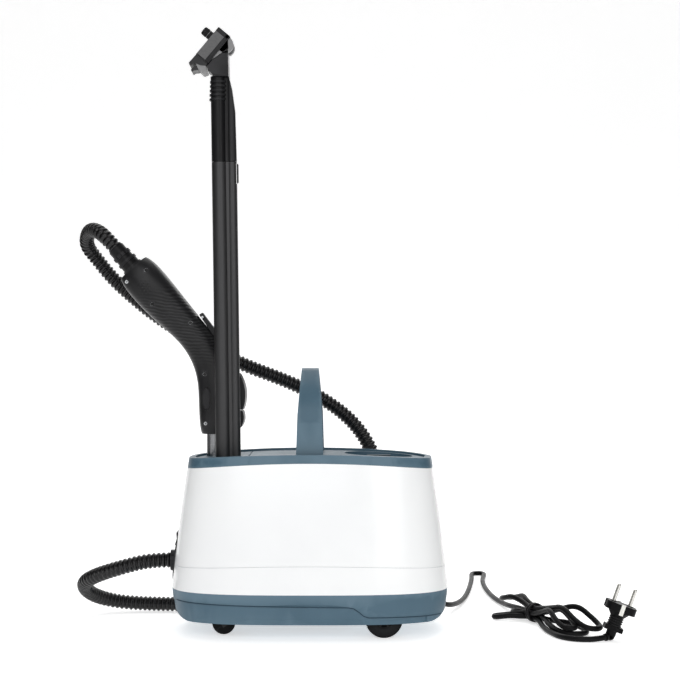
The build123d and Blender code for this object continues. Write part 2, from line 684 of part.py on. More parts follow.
@cache
def shell_solid():
    """Hollow handset housing, cut flat for the steam plate and slotted for its controls."""
    seat = slab(-300, PLATE_SEAT_X, -50, 100, 200, 460)
    outer = handset_volume() & seat
    inner = handset_volume(2.4) & slab(-300, PLATE_SEAT_X - 2.4, -50, 100, HANDSET_BOTTOM_Z + 2.4, 460)
    end_wall = collar_place() * Pos(0, 0, -1.2) * Box(60, 60, 2.4)
    shell = (outer - inner) + (outer & end_wall) - collar_place() * Cylinder(6 + RUNNING_FIT, 8)
    shell -= trigger_slot()
    shell -= button_slot()
    return shell - rod_z(POST_X, HANDSET_Y, 12.0, 200, 240)


def make_handset_half(side):
    """Front or back half of the handset housing, split on its own mid plane."""
    y0, y1 = sorted((HANDSET_Y, HANDSET_Y + side * 60))
    half = shell_solid() & slab(-300, 0, y0, y1, 200, 500)
    return half - screw_bodies(reach=12)


def make_handset_socket():
    """Blind tube inside the handset that drops over the post."""
    cup = rod_z(POST_X, HANDSET_Y, 12.0, HANDSET_BOTTOM_Z, POST_TOP_Z + 4)
    return cup - rod_z(POST_X, HANDSET_Y, POST_RADIUS + 0.35, 200, POST_TOP_Z + 0.5)


TRIGGER_OUTLINE = (
    (-131.8, 365.6), (-127.8, 368.2), (-96.2, 326.3), (-91.6, 314.8), (-98.8, 315.4), (-104.8, 326.0),
)


def make_trigger():
    """Long trigger on the front of the grip, hinged at its upper end."""
    lever = plate_xz(TRIGGER_OUTLINE, HANDSET_Y - 6.5, HANDSET_Y + 6.5)
    return lever - rod_y(-127.6, 362.6, 1.6, -20, 60)


def trigger_slot():
    """Slot in the housing, wide and long enough for the trigger's travel."""
    outline = ((-135.4, 363.2), (-128.0, 372.0), (-90.0, 332.0), (-84.5, 311.0), (-106.4, 311.0), (-115.6, 328.6))
    return plate_xz(outline, HANDSET_Y - 7.2, HANDSET_Y + 7.2)


def make_trigger_pin():
    """Hinge pin of the trigger, across the slot."""
    return rod_y(-127.6, 362.6, 1.5, HANDSET_Y - 12, HANDSET_Y + 12)


def button_solid(side, grow, near, far):
    """Oval side button, from near to far out from the handset's mid plane."""
    face = Plane.XZ * Pos(-122, 267) * Ellipse(4.2 + grow, 12.5 + grow)
    mid = HANDSET_Y + side * (near + far) / 2
    return Pos(0, mid, 0) * extrude(face, (far - near) / 2, both=True)


def button_slot():
    """Both button holes."""
    return button_solid(-1, 0.4, 10, 30) + button_solid(1, 0.4, 10, 30)


def make_button(side):
    """Release button with a collar behind the wall."""
    return button_solid(side, 0.0, 13.6, 19.6)


def make_steam_plate():
    """Domed steam plate on the front of the head."""
    arc = ThreePointArc((PLATE_SEAT_X, 296.4), (-76.4, 272.5), (-79.4, 253.9))
    rest = Polyline((-79.4, 253.9), (PLATE_SEAT_X, 253.9), (PLATE_SEAT_X, 296.4))
    plate = extrude(Plane.XZ * make_face([arc, rest]), 17.5, both=True)
    return Pos(0, HANDSET_Y, 0) * plate


def make_brush_frame():
    """Lower frame under the plate, where the brush clips on."""
    arc = ThreePointArc((-79.9, 252.4), (-78.2, 245.0), (-81.8, 233.0))
    rest = Polyline((-81.8, 233.0), (PLATE_SEAT_X, 233.0), (PLATE_SEAT_X, 252.4), (-79.9, 252.4))
    frame = extrude(Plane.XZ * make_face([arc, rest]), 16.0, both=True)
    return Pos(0, HANDSET_Y, 0) * frame


def collar_place():
    """Frame at the root of the hose collar, z along the hose, up and to the left."""
    return Pos(COLLAR_START[0], HANDSET_Y, COLLAR_START[1]) * Rot(0, -(90 - COLLAR_SLOPE), 0)


def make_hose_collar():
    """Stepped swivel collar with a toothed ring."""
    steps = (
        (0.3, 13.0, 3.0), (3.3, 11.2, 6.5), (9.8, 12.2, 3.2),
        (13.0, 10.4, 5.6), (18.6, 11.6, 4.2), (22.8, 10.0, 9.0),
    )
    collar = Pos(0, 0, -3) * Cylinder(6, 8)
    for start, radius, length in steps:
        collar += Pos(0, 0, start + length / 2) * Cylinder(radius, length)
    for tooth in range(12):
        collar -= Rot(0, 0, tooth * 30) * Pos(12.0, 0, 20.7) * Box(1.8, 2.4, 4.4)
    return collar_place() * collar


def make_handset_steam_tube():
    """Tube from the collar down to the steam plate."""
    route = ((-200, 22, 410), (-160, 22, 366), (-128, 22, 322), (-104, 22, 286), (-92, 22, 278))
    path = FilletPolyline(*route, radius=[60, 60, 12])
    start = Plane(origin=path @ 0, z_dir=path % 0)
    return sweep(start * Circle(3.5), path=path)


HANDSET_SCREWS = (
    (-193.0, 417.5, 17.6),
    (-216.0, 404.0, 14.0),
    (-185.3, 377.6, 18.8),
    (-140.8, 356.0, 17.2),
    (-124.5, 295.6, 16.6),
    (-123.5, 237.5, 13.8),
)
SCREW_RADIUS = 2.1


def screw_bodies(reach=0.0):
    """Each screw as a short round bar into the front half, or with reach the well that it sits in."""
    bars = []
    for x, z, depth in HANDSET_SCREWS:
        bars.append(rod_y(x, z, SCREW_RADIUS, HANDSET_Y - depth - reach, HANDSET_Y - depth + 3.4))
    return bars


def make_handset_screws():
    """Housing screws, sunk in the front half."""
    return Compound(children=screw_bodies())


# ---------------------------------------------------------------- cord, hank and plug
def run_place(route, index):
    """Frame at one point of a route, z along the run that leaves it."""
    return Plane(origin=route[index], z_dir=Vector(*route[index + 1]) - Vector(*route[index])).location


def gland_place():
    """Frame at the tip of the strain relief, z along the cord's first run."""
    return run_place(CORD_ROUTE, 0)


def make_cord_gland():
    """Tapered strain relief in the right rear corner of the pan, with its nut inside."""
    boot = Pos(0, 0, -BOOT_LENGTH / 2) * Cone(BOOT_RADIUS, 4.0, BOOT_LENGTH)
    nut = Pos(0, 0, -BOOT_LENGTH - 1.5) * Cylinder(BOOT_NUT_RADIUS, 3)
    return gland_place() * (boot + nut)


def hank_axis():
    """Heading of the hank's neck in plan, in degrees."""
    return degrees(atan2(HANK_FRONT[1] - HANK_TIE[1], HANK_FRONT[0] - HANK_TIE[0]))


def lobe_of_hank(end, end_radius, height, reach):
    """One end of the bundle: a flat teardrop from the tie to a round end."""
    heading = atan2(end[1] - HANK_TIE[1], end[0] - HANK_TIE[0])
    root = (HANK_TIE[0] + reach * cos(heading), HANK_TIE[1] + reach * sin(heading))
    circles = Pos(*end) * Circle(end_radius), Pos(*root) * Circle(HANK_NECK_RADIUS)
    face = make_hull(circles[0].edges() + circles[1].edges())
    solid = extrude(face, height)
    return fillet(solid.edges().group_by(Axis.Z)[-1], 6.0)


def make_cord_hank():
    """Outer shape of the tied bundle of cord, lying on the floor."""
    front = lobe_of_hank(HANK_FRONT, HANK_FRONT_RADIUS, HANK_FRONT_HEIGHT, 19)
    back = lobe_of_hank(HANK_BACK, HANK_BACK_RADIUS, HANK_BACK_HEIGHT, 19)
    neck = Pos(*HANK_TIE) * Rot(0, 0, hank_axis()) * Rot(0, 90, 0) * Cylinder(HANK_NECK_RADIUS, 44)
    return front + back + neck - tie_ring(HANK_TIE_RADIUS + 4)


def tie_ring(outer):
    """Ring round the neck of the hank."""
    ring = Cylinder(outer, 9) - Cylinder(HANK_NECK_RADIUS, 10)
    return Pos(*HANK_TIE) * Rot(0, 0, hank_axis()) * Rot(0, 90, 0) * ring


def make_cord_tie():
    """Turn of cord that ties the hank."""
    return tie_ring(HANK_TIE_RADIUS)


def plug_place():
    """Frame of the plug: origin in the middle of its tail, z along its pins."""
    return Pos(*PLUG_FOOT) * Rot(0, PLUG_LEAN, 0)


def earth_clips():
    """Earth strips on the two flanks of the plug's face."""
    return [Pos(0, side * 14.2, 32.6) * Box(4.6, 1.6, 12.4) for side in (-1, 1)]


def make_plug_body():
    """Moulded two-pin plug: tail, finger grip, waist and wide face, with the cord entering from the side."""
    body = Sphere(5.2) + Pos(0, 0, 4) * Cylinder(5.6, 6)
    body += Pos(0, 0, 9.5) * Box(21, 13, 5.5)
    body += Pos(0, 0, 17) * Cylinder(7.4, 14)
    body += Pos(0, 0, 26.4) * Cone(8.0, 13.0, 6.4)
    body += Pos(0, 0, 29.4) * extrude(oval(17.6, 14.6, 3.0), 8.6)
    for side in (-1, 1):
        body -= Pos(side * 18.6, 0, 33.4) * Cylinder(3.4, 12)
    body -= earth_clips()
    tip = TAIL_ROUTE[-1]
    entry = Plane(origin=tip, z_dir=Vector(*PLUG_FOOT) - Vector(*tip)).location
    entry = entry * Pos(0, 0, 3.4) * Cylinder(4.2, 6)
    last_run = run_place(TAIL_ROUTE, len(TAIL_ROUTE) - 2) * Pos(0, 0, 8)
    last_run = last_run * Cylinder(CORD_DIAMETER / 2 + 0.1, 40)
    keep_clear = last_run & (Pos(*tip) * Sphere(9))
    return plug_place() * body + entry - keep_clear


def make_plug_pins():
    """Two round pins, 4.8 mm thick, 19 mm long and 19 mm apart."""
    pins = [plug_place() * Pos(side * 9.5, 0, 47.5) * Cylinder(2.4, 19) for side in (-1, 1)]
    return Compound(children=pins)


def make_hoses():
    """The steam hose in two lengths: one stays with the base, one goes up with the handset."""
    radii = bend_radii(HOSE_ROUTE)
    near, far = HOSE_ROUTE[HOSE_SPLIT], HOSE_ROUTE[HOSE_SPLIT + 1]
    middle = tuple((a + b) / 2 for a, b in zip(near, far))
    lower = tube(HOSE_ROUTE[:HOSE_SPLIT + 1] + (middle,), HOSE_DIAMETER, radii[:HOSE_SPLIT], "hose lower")
    upper = tube((middle,) + HOSE_ROUTE[HOSE_SPLIT + 1:], HOSE_DIAMETER, radii[HOSE_SPLIT:], "hose upper")
    return lower, upper


# ---------------------------------------------------------------- write every node
hose_lower, hose_upper = make_hoses()
nodes = {
    "base_pan": make_base_pan(),
    "chassis_plate": make_chassis_plate(),
    "lower_band": make_lower_band(),
    "body_shell": make_body_shell(),
    "top_rim": make_top_rim(),
    "top_deck": make_top_deck(),
    "water_tank": make_water_tank(),
    "tank_lid": make_tank_lid(),
    "tank_handle": make_tank_handle(),
    "tank_cap": make_tank_cap(),
    "tank_valve": make_tank_valve(),
    "boiler_lower": make_boiler_lower(),
    "boiler_cover": make_boiler_cover(),
    "heating_element": make_heating_element(),
    "thermostat": make_thermostat(),
    "pump": make_pump(),
    "steam_pipe": make_steam_pipe(),
    "control_board": make_control_board(),
    "hose_panel": make_hose_panel(),
    "hose_outlet": make_hose_outlet(),
    "power_switch": make_power_switch(),
    "rear_axle": make_rear_axle(),
    "wheel_front": make_large_wheel(-1),
    "wheel_back": make_large_wheel(1),
    "caster_fork_front": make_caster_fork(-1),
    "caster_fork_back": make_caster_fork(1),
    "caster_wheel_front": make_caster_wheel(-1),
    "caster_wheel_back": make_caster_wheel(1),
    "mast_socket": make_mast_socket(),
    "mast_outer_tube": make_mast_outer_tube(),
    "mast_inner_tube": make_mast_inner_tube(),
    "mast_neck": make_mast_neck(),
    "mast_latch": make_mast_latch(),
    "head_block": make_head_block(),
    "head_hinge": make_head_hinge(),
    "head_jaws": make_head_jaws(),
    "head_knob": make_head_knob(),
    "handset_post": rod_z(POST_X, HANDSET_Y, POST_RADIUS, 155, POST_TOP_Z),
    "handset_shell_front": make_handset_half(-1),
    "handset_shell_back": make_handset_half(1),
    "handset_socket": make_handset_socket(),
    "handset_trigger": make_trigger(),
    "trigger_pin": make_trigger_pin(),
    "release_button_front": make_button(-1),
    "release_button_back": make_button(1),
    "steam_plate": make_steam_plate(),
    "brush_frame": make_brush_frame(),
    "hose_collar": make_hose_collar(),
    "handset_steam_tube": make_handset_steam_tube(),
    "handset_screws": make_handset_screws(),
    "steam_hose_lower": hose_lower,
    "steam_hose_upper": hose_upper,
    "cord_gland": make_cord_gland(),
    "mains_cord": tube(CORD_ROUTE, CORD_DIAMETER, bend_radii(CORD_ROUTE), "mains cord"),
    "cord_hank": make_cord_hank(),
    "cord_tie": make_cord_tie(),
    "cord_tail": tube(TAIL_ROUTE, CORD_DIAMETER, bend_radii(TAIL_ROUTE), "cord tail"),
    "plug_body": make_plug_body(),
    "plug_pins": make_plug_pins(),
    "plug_earth_clips": Compound(children=[plug_place() * clip for clip in earth_clips()]),
}
for name, shape in nodes.items():
    export_step(shape, f"parts/{name}.step")
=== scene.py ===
"""Looks of the garment steamer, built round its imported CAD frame. Units are metres, in the CAD frame."""
import json
from math import atan2, cos, pi, radians, sin

import bmesh
import bpy
from mathutils import Matrix, Vector
from mathutils.bvhtree import BVHTree


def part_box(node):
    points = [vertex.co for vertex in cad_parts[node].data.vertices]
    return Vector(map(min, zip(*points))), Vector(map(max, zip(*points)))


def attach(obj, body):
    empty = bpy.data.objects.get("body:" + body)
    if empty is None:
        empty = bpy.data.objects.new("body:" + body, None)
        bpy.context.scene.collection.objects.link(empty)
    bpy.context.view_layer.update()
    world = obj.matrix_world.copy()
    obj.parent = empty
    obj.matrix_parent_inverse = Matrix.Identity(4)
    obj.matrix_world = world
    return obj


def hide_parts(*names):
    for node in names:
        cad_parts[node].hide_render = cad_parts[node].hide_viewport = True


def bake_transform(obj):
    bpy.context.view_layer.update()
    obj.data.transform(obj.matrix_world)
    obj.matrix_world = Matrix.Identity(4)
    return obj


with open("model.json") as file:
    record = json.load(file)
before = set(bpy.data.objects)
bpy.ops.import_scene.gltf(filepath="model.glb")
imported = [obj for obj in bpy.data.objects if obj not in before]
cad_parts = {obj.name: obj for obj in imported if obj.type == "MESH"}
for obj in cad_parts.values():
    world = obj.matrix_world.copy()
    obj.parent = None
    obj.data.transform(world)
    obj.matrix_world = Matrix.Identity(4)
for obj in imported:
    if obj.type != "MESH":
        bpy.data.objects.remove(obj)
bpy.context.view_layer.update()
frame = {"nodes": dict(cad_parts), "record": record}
NODES = frame["nodes"]
MM = 0.001

# ---------------------------------------------------------------- sizes shared with the CAD source
HOSE_RADIUS = 9.0 * MM
HOSE_VALLEY = 7.3 * MM
RIB_PITCH = 5.6 * MM
CORD_RADIUS = 3.2 * MM
PLAN_POWER = 3.1
SKIN_LEVELS = ((0.051, 0.160, 0.0863), (0.125, 0.1515, 0.0778), (0.212, 0.1386, 0.066))
SEAM_CROWN = (0.082, 0.0044)
CROWN_REACH = 0.140

# The hose's route, from the outlet on the left end, round behind the base and up to the handset.
HOSE_ROUTE = (
    (-0.163, 0.000, 0.0785), (-0.187, 0.000, 0.0785), (-0.224, 0.002, 0.0690), (-0.257, 0.016, 0.0570),
    (-0.275, 0.046, 0.0430), (-0.270, 0.080, 0.0250), (-0.245, 0.100, 0.0135), (-0.205, 0.103, 0.0098),
    (-0.150, 0.102, 0.0093), (-0.080, 0.106, 0.0093), (-0.020, 0.112, 0.0100), (0.030, 0.114, 0.0180),
    (0.066, 0.110, 0.0480), (0.082, 0.104, 0.0960), (0.085, 0.094, 0.1500), (0.076, 0.086, 0.1980),
    (0.052, 0.084, 0.2360), (0.014, 0.084, 0.2650), (-0.030, 0.084, 0.2860), (-0.086, 0.086, 0.3065),
    (-0.140, 0.089, 0.3330), (-0.190, 0.093, 0.3640), (-0.222, 0.096, 0.3900), (-0.247, 0.097, 0.4130),
    (-0.265, 0.095, 0.4360), (-0.2765, 0.084, 0.4520), (-0.272, 0.066, 0.4650), (-0.263, 0.046, 0.4690),
    (-0.2515, 0.029, 0.4645), (-0.241, 0.022, 0.4556), (-0.231, 0.022, 0.4445),
)

# The mains cord's route on the floor: out of the gland, round the bight and forward to the hank.
CORD_ROUTE = (
    (0.1550, 0.0715, 0.0170), (0.1635, 0.0815, 0.0126), (0.1720, 0.0985, 0.0092), (0.1820, 0.1280, 0.0062),
    (0.1910, 0.1640, 0.0042), (0.1990, 0.2040, 0.0035), (0.2065, 0.2500, 0.0034), (0.2130, 0.2980, 0.0035),
    (0.2180, 0.3380, 0.0034), (0.2206, 0.3660, 0.0035), (0.2220, 0.3860, 0.0034), (0.2255, 0.3965, 0.0034),
    (0.2363, 0.3985, 0.0034), (0.2408, 0.3888, 0.0034), (0.2385, 0.3710, 0.0035), (0.2340, 0.3440, 0.0034),
    (0.2310, 0.3080, 0.0035), (0.2300, 0.2660, 0.0034), (0.2310, 0.2200, 0.0035), (0.2340, 0.1780, 0.0038),
    (0.2385, 0.1460, 0.0044), (0.2423, 0.1220, 0.0056), (0.2446, 0.1050, 0.0070),
)
INTO_NECK = ((0.2515, 0.0810, 0.0088), (0.2580, 0.0560, 0.0105))
OUT_OF_NECK = ((0.2685, 0.0060, 0.0062), (0.2690, -0.0180, 0.0042), (0.2715, -0.0400, 0.0034))
TAIL_ROUTE = (
    (0.2760, -0.0600, 0.0034), (0.2800, -0.0745, 0.0034), (0.2895, -0.0860, 0.0034),
    (0.3030, -0.0922, 0.0034), (0.3170, -0.0920, 0.0035), (0.3290, -0.0865, 0.0044),
)
PLUG_FOOT = Vector((0.3356, -0.0810, 0.0053))
PLUG_LEAN = radians(20)

# The hank: seven strands through the tie, in a hexagon, between loops at the front and at the back.
HANK_TIE = Vector((0.266, 0.028, 0.0122))
NECK_HEADING = atan2(-0.080, 0.036)
SLOT_RADIUS = 6.5 * MM
NECK_REACH = 8.0 * MM
SLOT_ANGLES = (None, 300, 0, 60, 120, 180, 240)
# Heading in degrees, length, half width, height in the middle, height at the end, side of the first leg.
FRONT_LOOPS = (
    (-66, 0.097, 0.0175, 0.0080, 0.0036, -1),
    (-57, 0.108, 0.0135, 0.0290, 0.0098, 1),
    (-71, 0.094, 0.0100, 0.0250, 0.0100, 1),
)
BACK_LOOPS = (
    (101, 0.062, 0.0110, 0.0090, 0.0040, 1),
    (113, 0.072, 0.0095, 0.0260, 0.0190, -1),
    (150, 0.052, 0.0085, 0.0070, 0.0036, -1),
)
# Share of a loop's length, and share of its half width, along one leg.
LOOP_LEG = ((0.34, 0.36), (0.57, 0.82), (0.78, 1.0), (0.93, 0.82), (1.0, 0.32))


# ---------------------------------------------------------------- camera
def make_camera():
    """The photograph's view: level, in front of the base, with a long lens."""
    data = bpy.data.cameras.new("camera")
    data.sensor_width = 36
    data.lens = 78.9
    data.shift_y = 0.0154
    data.dof.use_dof = False
    camera = bpy.data.objects.new("camera", data)
    camera.location = (0.0345, -1.743, 0.324)
    camera.rotation_euler = (radians(90), 0, 0)
    bpy.context.scene.collection.objects.link(camera)
    bpy.context.scene.camera = camera


# ---------------------------------------------------------------- mesh helpers
def add_object(name, data):
    piece = bpy.data.objects.new(name, data)
    bpy.context.scene.collection.objects.link(piece)
    return piece


def mesh_from(name, points, faces, smooth=True):
    mesh = bpy.data.meshes.new(name)
    mesh.from_pydata([tuple(p) for p in points], [], faces)
    mesh.update()
    mesh.polygons.foreach_set("use_smooth", [smooth] * len(mesh.polygons))
    return add_object(name, mesh)


def bevel(piece, width, segments=2, angle=30):
    """Rounds a piece's edges."""
    modifier = piece.modifiers.new("bevel", "BEVEL")
    modifier.width = width
    modifier.segments = segments
    modifier.limit_method = "ANGLE"
    modifier.angle_limit = radians(angle)
    return piece


def lathe(name, profile, place, segments=48):
    """A closed turned shape: profile is a list of (radius, height), turned about place's z."""
    points = []
    faces = []
    for radius, height in profile:
        for k in range(segments):
            turn = 2 * pi * k / segments
            points.append(place @ Vector((radius * cos(turn), radius * sin(turn), height)))
    for row in range(len(profile) - 1):
        for k in range(segments):
            a = row * segments + k
            b = row * segments + (k + 1) % segments
            faces.append((a, b, b + segments, a + segments))
    faces.append(tuple(reversed(range(segments))))
    last = (len(profile) - 1) * segments
    faces.append(tuple(last + k for k in range(segments)))
    return mesh_from(name, points, faces)


def ring_shape(name, profile, place, segments=64):
    """A closed ring: profile is a loop of (radius, height), turned about place's z."""
    points = []
    faces = []
    rows = len(profile)
    for radius, height in profile:
        for k in range(segments):
            turn = 2 * pi * k / segments
            points.append(place @ Vector((radius * cos(turn), radius * sin(turn), height)))
    for row in range(rows):
        for k in range(segments):
            a = row * segments + k
            b = row * segments + (k + 1) % segments
            c = ((row + 1) % rows) * segments
            faces.append((a, b, c + (k + 1) % segments, c + k))
    return mesh_from(name, points, faces)


def join(name, parts):
    """One piece made of several meshes, with their modifiers applied."""
    whole = bmesh.new()
    depsgraph = bpy.context.evaluated_depsgraph_get()
    for part in parts:
        mesh = bpy.data.meshes.new_from_object(part.evaluated_get(depsgraph))
        mesh.transform(part.matrix_world)
        whole.from_mesh(mesh)
    mesh = bpy.data.meshes.new(name)
    whole.to_mesh(mesh)
    whole.free()
    for part in parts:
        bpy.data.objects.remove(part)
    mesh.polygons.foreach_set("use_smooth", [True] * len(mesh.polygons))
    return add_object(name, mesh)


def frame_at(origin, z_axis, x_hint=(1, 0, 0)):
    """A placing matrix with its z along z_axis."""
    z_axis = Vector(z_axis).normalized()
    x_axis = Vector(x_hint)
    x_axis = (x_axis - z_axis * x_axis.dot(z_axis)).normalized()
    y_axis = z_axis.cross(x_axis)
    place = Matrix((x_axis, y_axis, z_axis)).transposed().to_4x4()
    place.translation = Vector(origin)
    return place


def surface_of(node):
    """A tree for finding points on a CAD node's surface."""
    mesh = NODES[node].data
    return BVHTree.FromPolygons([v.co for v in mesh.vertices], [p.vertices for p in mesh.polygons])


# ---------------------------------------------------------------- lines
def nurbs_curve(name, points, radius=0.0):
    """An open NURBS line, round and capped if it has a radius."""
    curve = bpy.data.curves.new(name, "CURVE")
    curve.dimensions = "3D"
    spline = curve.splines.new("NURBS")
    spline.points.add(len(points) - 1)
    for control, point in zip(spline.points, points):
        control.co = (*point, 1)
        control.radius = radius
    spline.order_u = 3
    spline.use_endpoint_u = True
    curve.resolution_u = 10
    curve.bevel_depth = 1.0 if radius else 0.0
    curve.bevel_resolution = 5
    curve.use_fill_caps = radius > 0
    return add_object(name, curve)


def line_points(name, route):
    """Points along the route's NURBS line."""
    guide = nurbs_curve(name, route)
    bpy.context.view_layer.update()
    mesh = bpy.data.meshes.new_from_object(guide)
    points = [v.co.copy() for v in mesh.vertices]
    bpy.data.objects.remove(guide)
    return points


def evenly(points, step):
    """Points a step apart along a line, with the line's direction at each."""
    lengths = [0.0]
    for a, b in zip(points, points[1:]):
        lengths.append(lengths[-1] + (b - a).length)
    count = round(lengths[-1] / step)
    found = []
    k = 0
    for n in range(count + 1):
        at = lengths[-1] * n / count
        while k < len(points) - 2 and lengths[k + 1] < at:
            k += 1
        share = (at - lengths[k]) / max(lengths[k + 1] - lengths[k], 1e-9)
        found.append(points[k].lerp(points[k + 1], min(share, 1.0)))
    return found


def sweep_rings(name, line, radii, segments=28):
    """A capped tube with its own radius at each point of the line."""
    points = []
    faces = []
    side = Vector((0, 1, 0))
    for n, centre in enumerate(line):
        ahead = (line[min(n + 1, len(line) - 1)] - line[max(n - 1, 0)]).normalized()
        side = (side - ahead * side.dot(ahead)).normalized()
        other = ahead.cross(side)
        for k in range(segments):
            turn = 2 * pi * k / segments
            points.append(centre + (side * cos(turn) + other * sin(turn)) * radii[n])
    for n in range(len(line) - 1):
        for k in range(segments):
            a = n * segments + k
            b = n * segments + (k + 1) % segments
            faces.append((a, b, b + segments, a + segments))
    faces.append(tuple(reversed(range(segments))))
    last = (len(line) - 1) * segments
    faces.append(tuple(last + k for k in range(segments)))
    return mesh_from(name, points, faces)


def length_of(points):
    return sum((b - a).length for a, b in zip(points, points[1:]))


# ---------------------------------------------------------------- hose and cord
def make_hose():
    """Corrugated hose: one rounded rib to each pitch, along the route's smooth line."""
    line = line_points("hose_guide", HOSE_ROUTE)
    profile = (0.0, 0.05, 0.70, 0.97, 1.0, 0.97, 0.70, 0.05)
    fine = evenly(line, RIB_PITCH / len(profile))
    radii = [HOSE_VALLEY + (HOSE_RADIUS - HOSE_VALLEY) * profile[n % len(profile)] for n in range(len(fine))]
    hose = sweep_rings("steam_hose", fine, radii)
    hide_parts("steam_hose_lower", "steam_hose_upper")
    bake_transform(hose)
    return hose


def neck_points(number, forward):
    """Two points of one strand where it passes through the tie."""
    along = Vector((cos(NECK_HEADING), sin(NECK_HEADING), 0))
    across = Vector((-along.y, along.x, 0))
    centre = HANK_TIE.copy()
    if SLOT_ANGLES[number] is not None:
        turn = radians(SLOT_ANGLES[number])
        centre += across * (SLOT_RADIUS * cos(turn)) + Vector((0, 0, SLOT_RADIUS * sin(turn)))
    reach = NECK_REACH if forward else -NECK_REACH
    return [centre - along * reach, centre + along * reach]


def loop_points(loop, start_z, end_z):
    """Ten points of one loop: out along one leg, round its end, and back along the other."""
    heading, length, half_width, middle_z, tip_z, side = loop
    along = Vector((cos(radians(heading)), sin(radians(heading)), 0))
    across = Vector((-along.y, along.x, 0)) * side
    heights = (0.45, 1.0, 0.40, 0.05, 0.0)
    points = []
    for hand, near_z in ((1, start_z), (-1, end_z)):
        leg = []
        for (share, spread), height in zip(LOOP_LEG, heights):
            level = tip_z + (middle_z - tip_z) * height
            if share == LOOP_LEG[0][0]:
                level = (near_z + middle_z) / 2
            point = HANK_TIE + along * (length * share) + across * (half_width * spread * hand)
            point.z = level
            leg.append(point)
        points += leg if hand == 1 else leg[::-1]
    return points


def hank_points():
    """The turns of the hank, from the cord's first pass through the tie to its last."""
    points = neck_points(0, forward=True)
    for turn in range(3):
        for loops, number, forward in ((FRONT_LOOPS, 2 * turn + 1, False), (BACK_LOOPS, 2 * turn + 2, True)):
            passing = neck_points(number, forward)
            points += loop_points(loops[turn], points[-1].z, passing[0].z)
            points += passing
    return points


def make_mains_cord():
    """The whole mains cord on one line: the run on the floor, the hank and the tail into the plug."""
    route = [Vector(p) for p in CORD_ROUTE + INTO_NECK]
    route += hank_points()
    route += [Vector(p) for p in OUT_OF_NECK + TAIL_ROUTE]
    cord = nurbs_curve("mains_cord_line", route, CORD_RADIUS)
    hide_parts("mains_cord", "cord_hank", "cord_tail")
    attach(cord, "base")
    return cord, length_of(line_points("cord_guide", route))


make_camera()
HOSE = make_hose()
MAINS_CORD, MAINS_LENGTH = make_mains_cord()


# ---------------------------------------------------------------- materials
def shade(red, green, blue):
    """A screen colour, 0 to 255, as linear light."""
    channels = []
    for value in (red, green, blue):
        level = value / 255
        channels.append(level / 12.92 if level <= 0.04045 else ((level + 0.055) / 1.055) ** 2.4)
    return (*channels, 1)


class Shader:
    """A node tree under construction, with the object's own coordinates as its source."""

    def __init__(self, name):
        self.material = bpy.data.materials.new(name)
        self.material.use_nodes = True
        self.tree = self.material.node_tree
        self.surface = self.tree.nodes["Principled BSDF"]
        self.place = self.node("ShaderNodeTexCoord").outputs["Object"]

    def node(self, kind, **values):
        made = self.tree.nodes.new(kind)
        for key, value in values.items():
            setattr(made, key, value)
        return made

    def link(self, source, target):
        self.tree.links.new(source, target)

    def stretched(self, scale, turn=(0, 0, 0)):
        """The object's coordinates, scaled and turned."""
        mapping = self.node("ShaderNodeMapping")
        mapping.inputs["Scale"].default_value = scale
        mapping.inputs["Rotation"].default_value = turn
        self.link(self.place, mapping.inputs["Vector"])
        return mapping.outputs["Vector"]

    def noise(self, scale, detail=3, vector=None):
        made = self.node("ShaderNodeTexNoise")
        made.inputs["Scale"].default_value = scale
        made.inputs["Detail"].default_value = detail
        self.link(vector or self.place, made.inputs["Vector"])
        return made.outputs["Fac"]

    def spread(self, source, low, high, start=0.3, stop=0.7):
        """The source's middle range, mapped to low up to high."""
        made = self.node("ShaderNodeMapRange")
        made.inputs["From Min"].default_value = start
        made.inputs["From Max"].default_value = stop
        made.inputs["To Min"].default_value = low
        made.inputs["To Max"].default_value = high
        self.link(source, made.inputs["Value"])
        return made.outputs["Result"]

    def math(self, operation, first, second):
        made = self.node("ShaderNodeMath", operation=operation)
        for socket, value in zip(made.inputs, (first, second)):
            if isinstance(value, (int, float)):
                socket.default_value = value
            else:
                self.link(value, socket)
        return made.outputs["Value"]

    def mix(self, factor, first, second):
        """Two colours, mixed by factor. Each is a colour or a socket."""
        made = self.node("ShaderNodeMix", data_type="RGBA")
        self.link(factor, made.inputs["Factor"])
        for socket, value in ((made.inputs[6], first), (made.inputs[7], second)):
            if isinstance(value, tuple):
                socket.default_value = value
            else:
                self.link(value, socket)
        return made.outputs[2]

    def bump(self, source, distance, strength=1.0):
        made = self.node("ShaderNodeBump")
        made.inputs["Distance"].default_value = distance
        made.inputs["Strength"].default_value = strength
        self.link(source, made.inputs["Height"])
        self.link(made.outputs["Normal"], self.surface.inputs["Normal"])

    def edge_wear_and_highlight(self, colour, lighter, amount):
        """The colour with its sharp edges a little lighter: partly edge wear, partly a painted highlight
        along the edges.
        """
        geometry = self.node("ShaderNodeNewGeometry")
        edge = self.spread(geometry.outputs["Pointiness"], 0.0, amount, 0.52, 0.60)
        return self.mix(edge, colour, lighter)


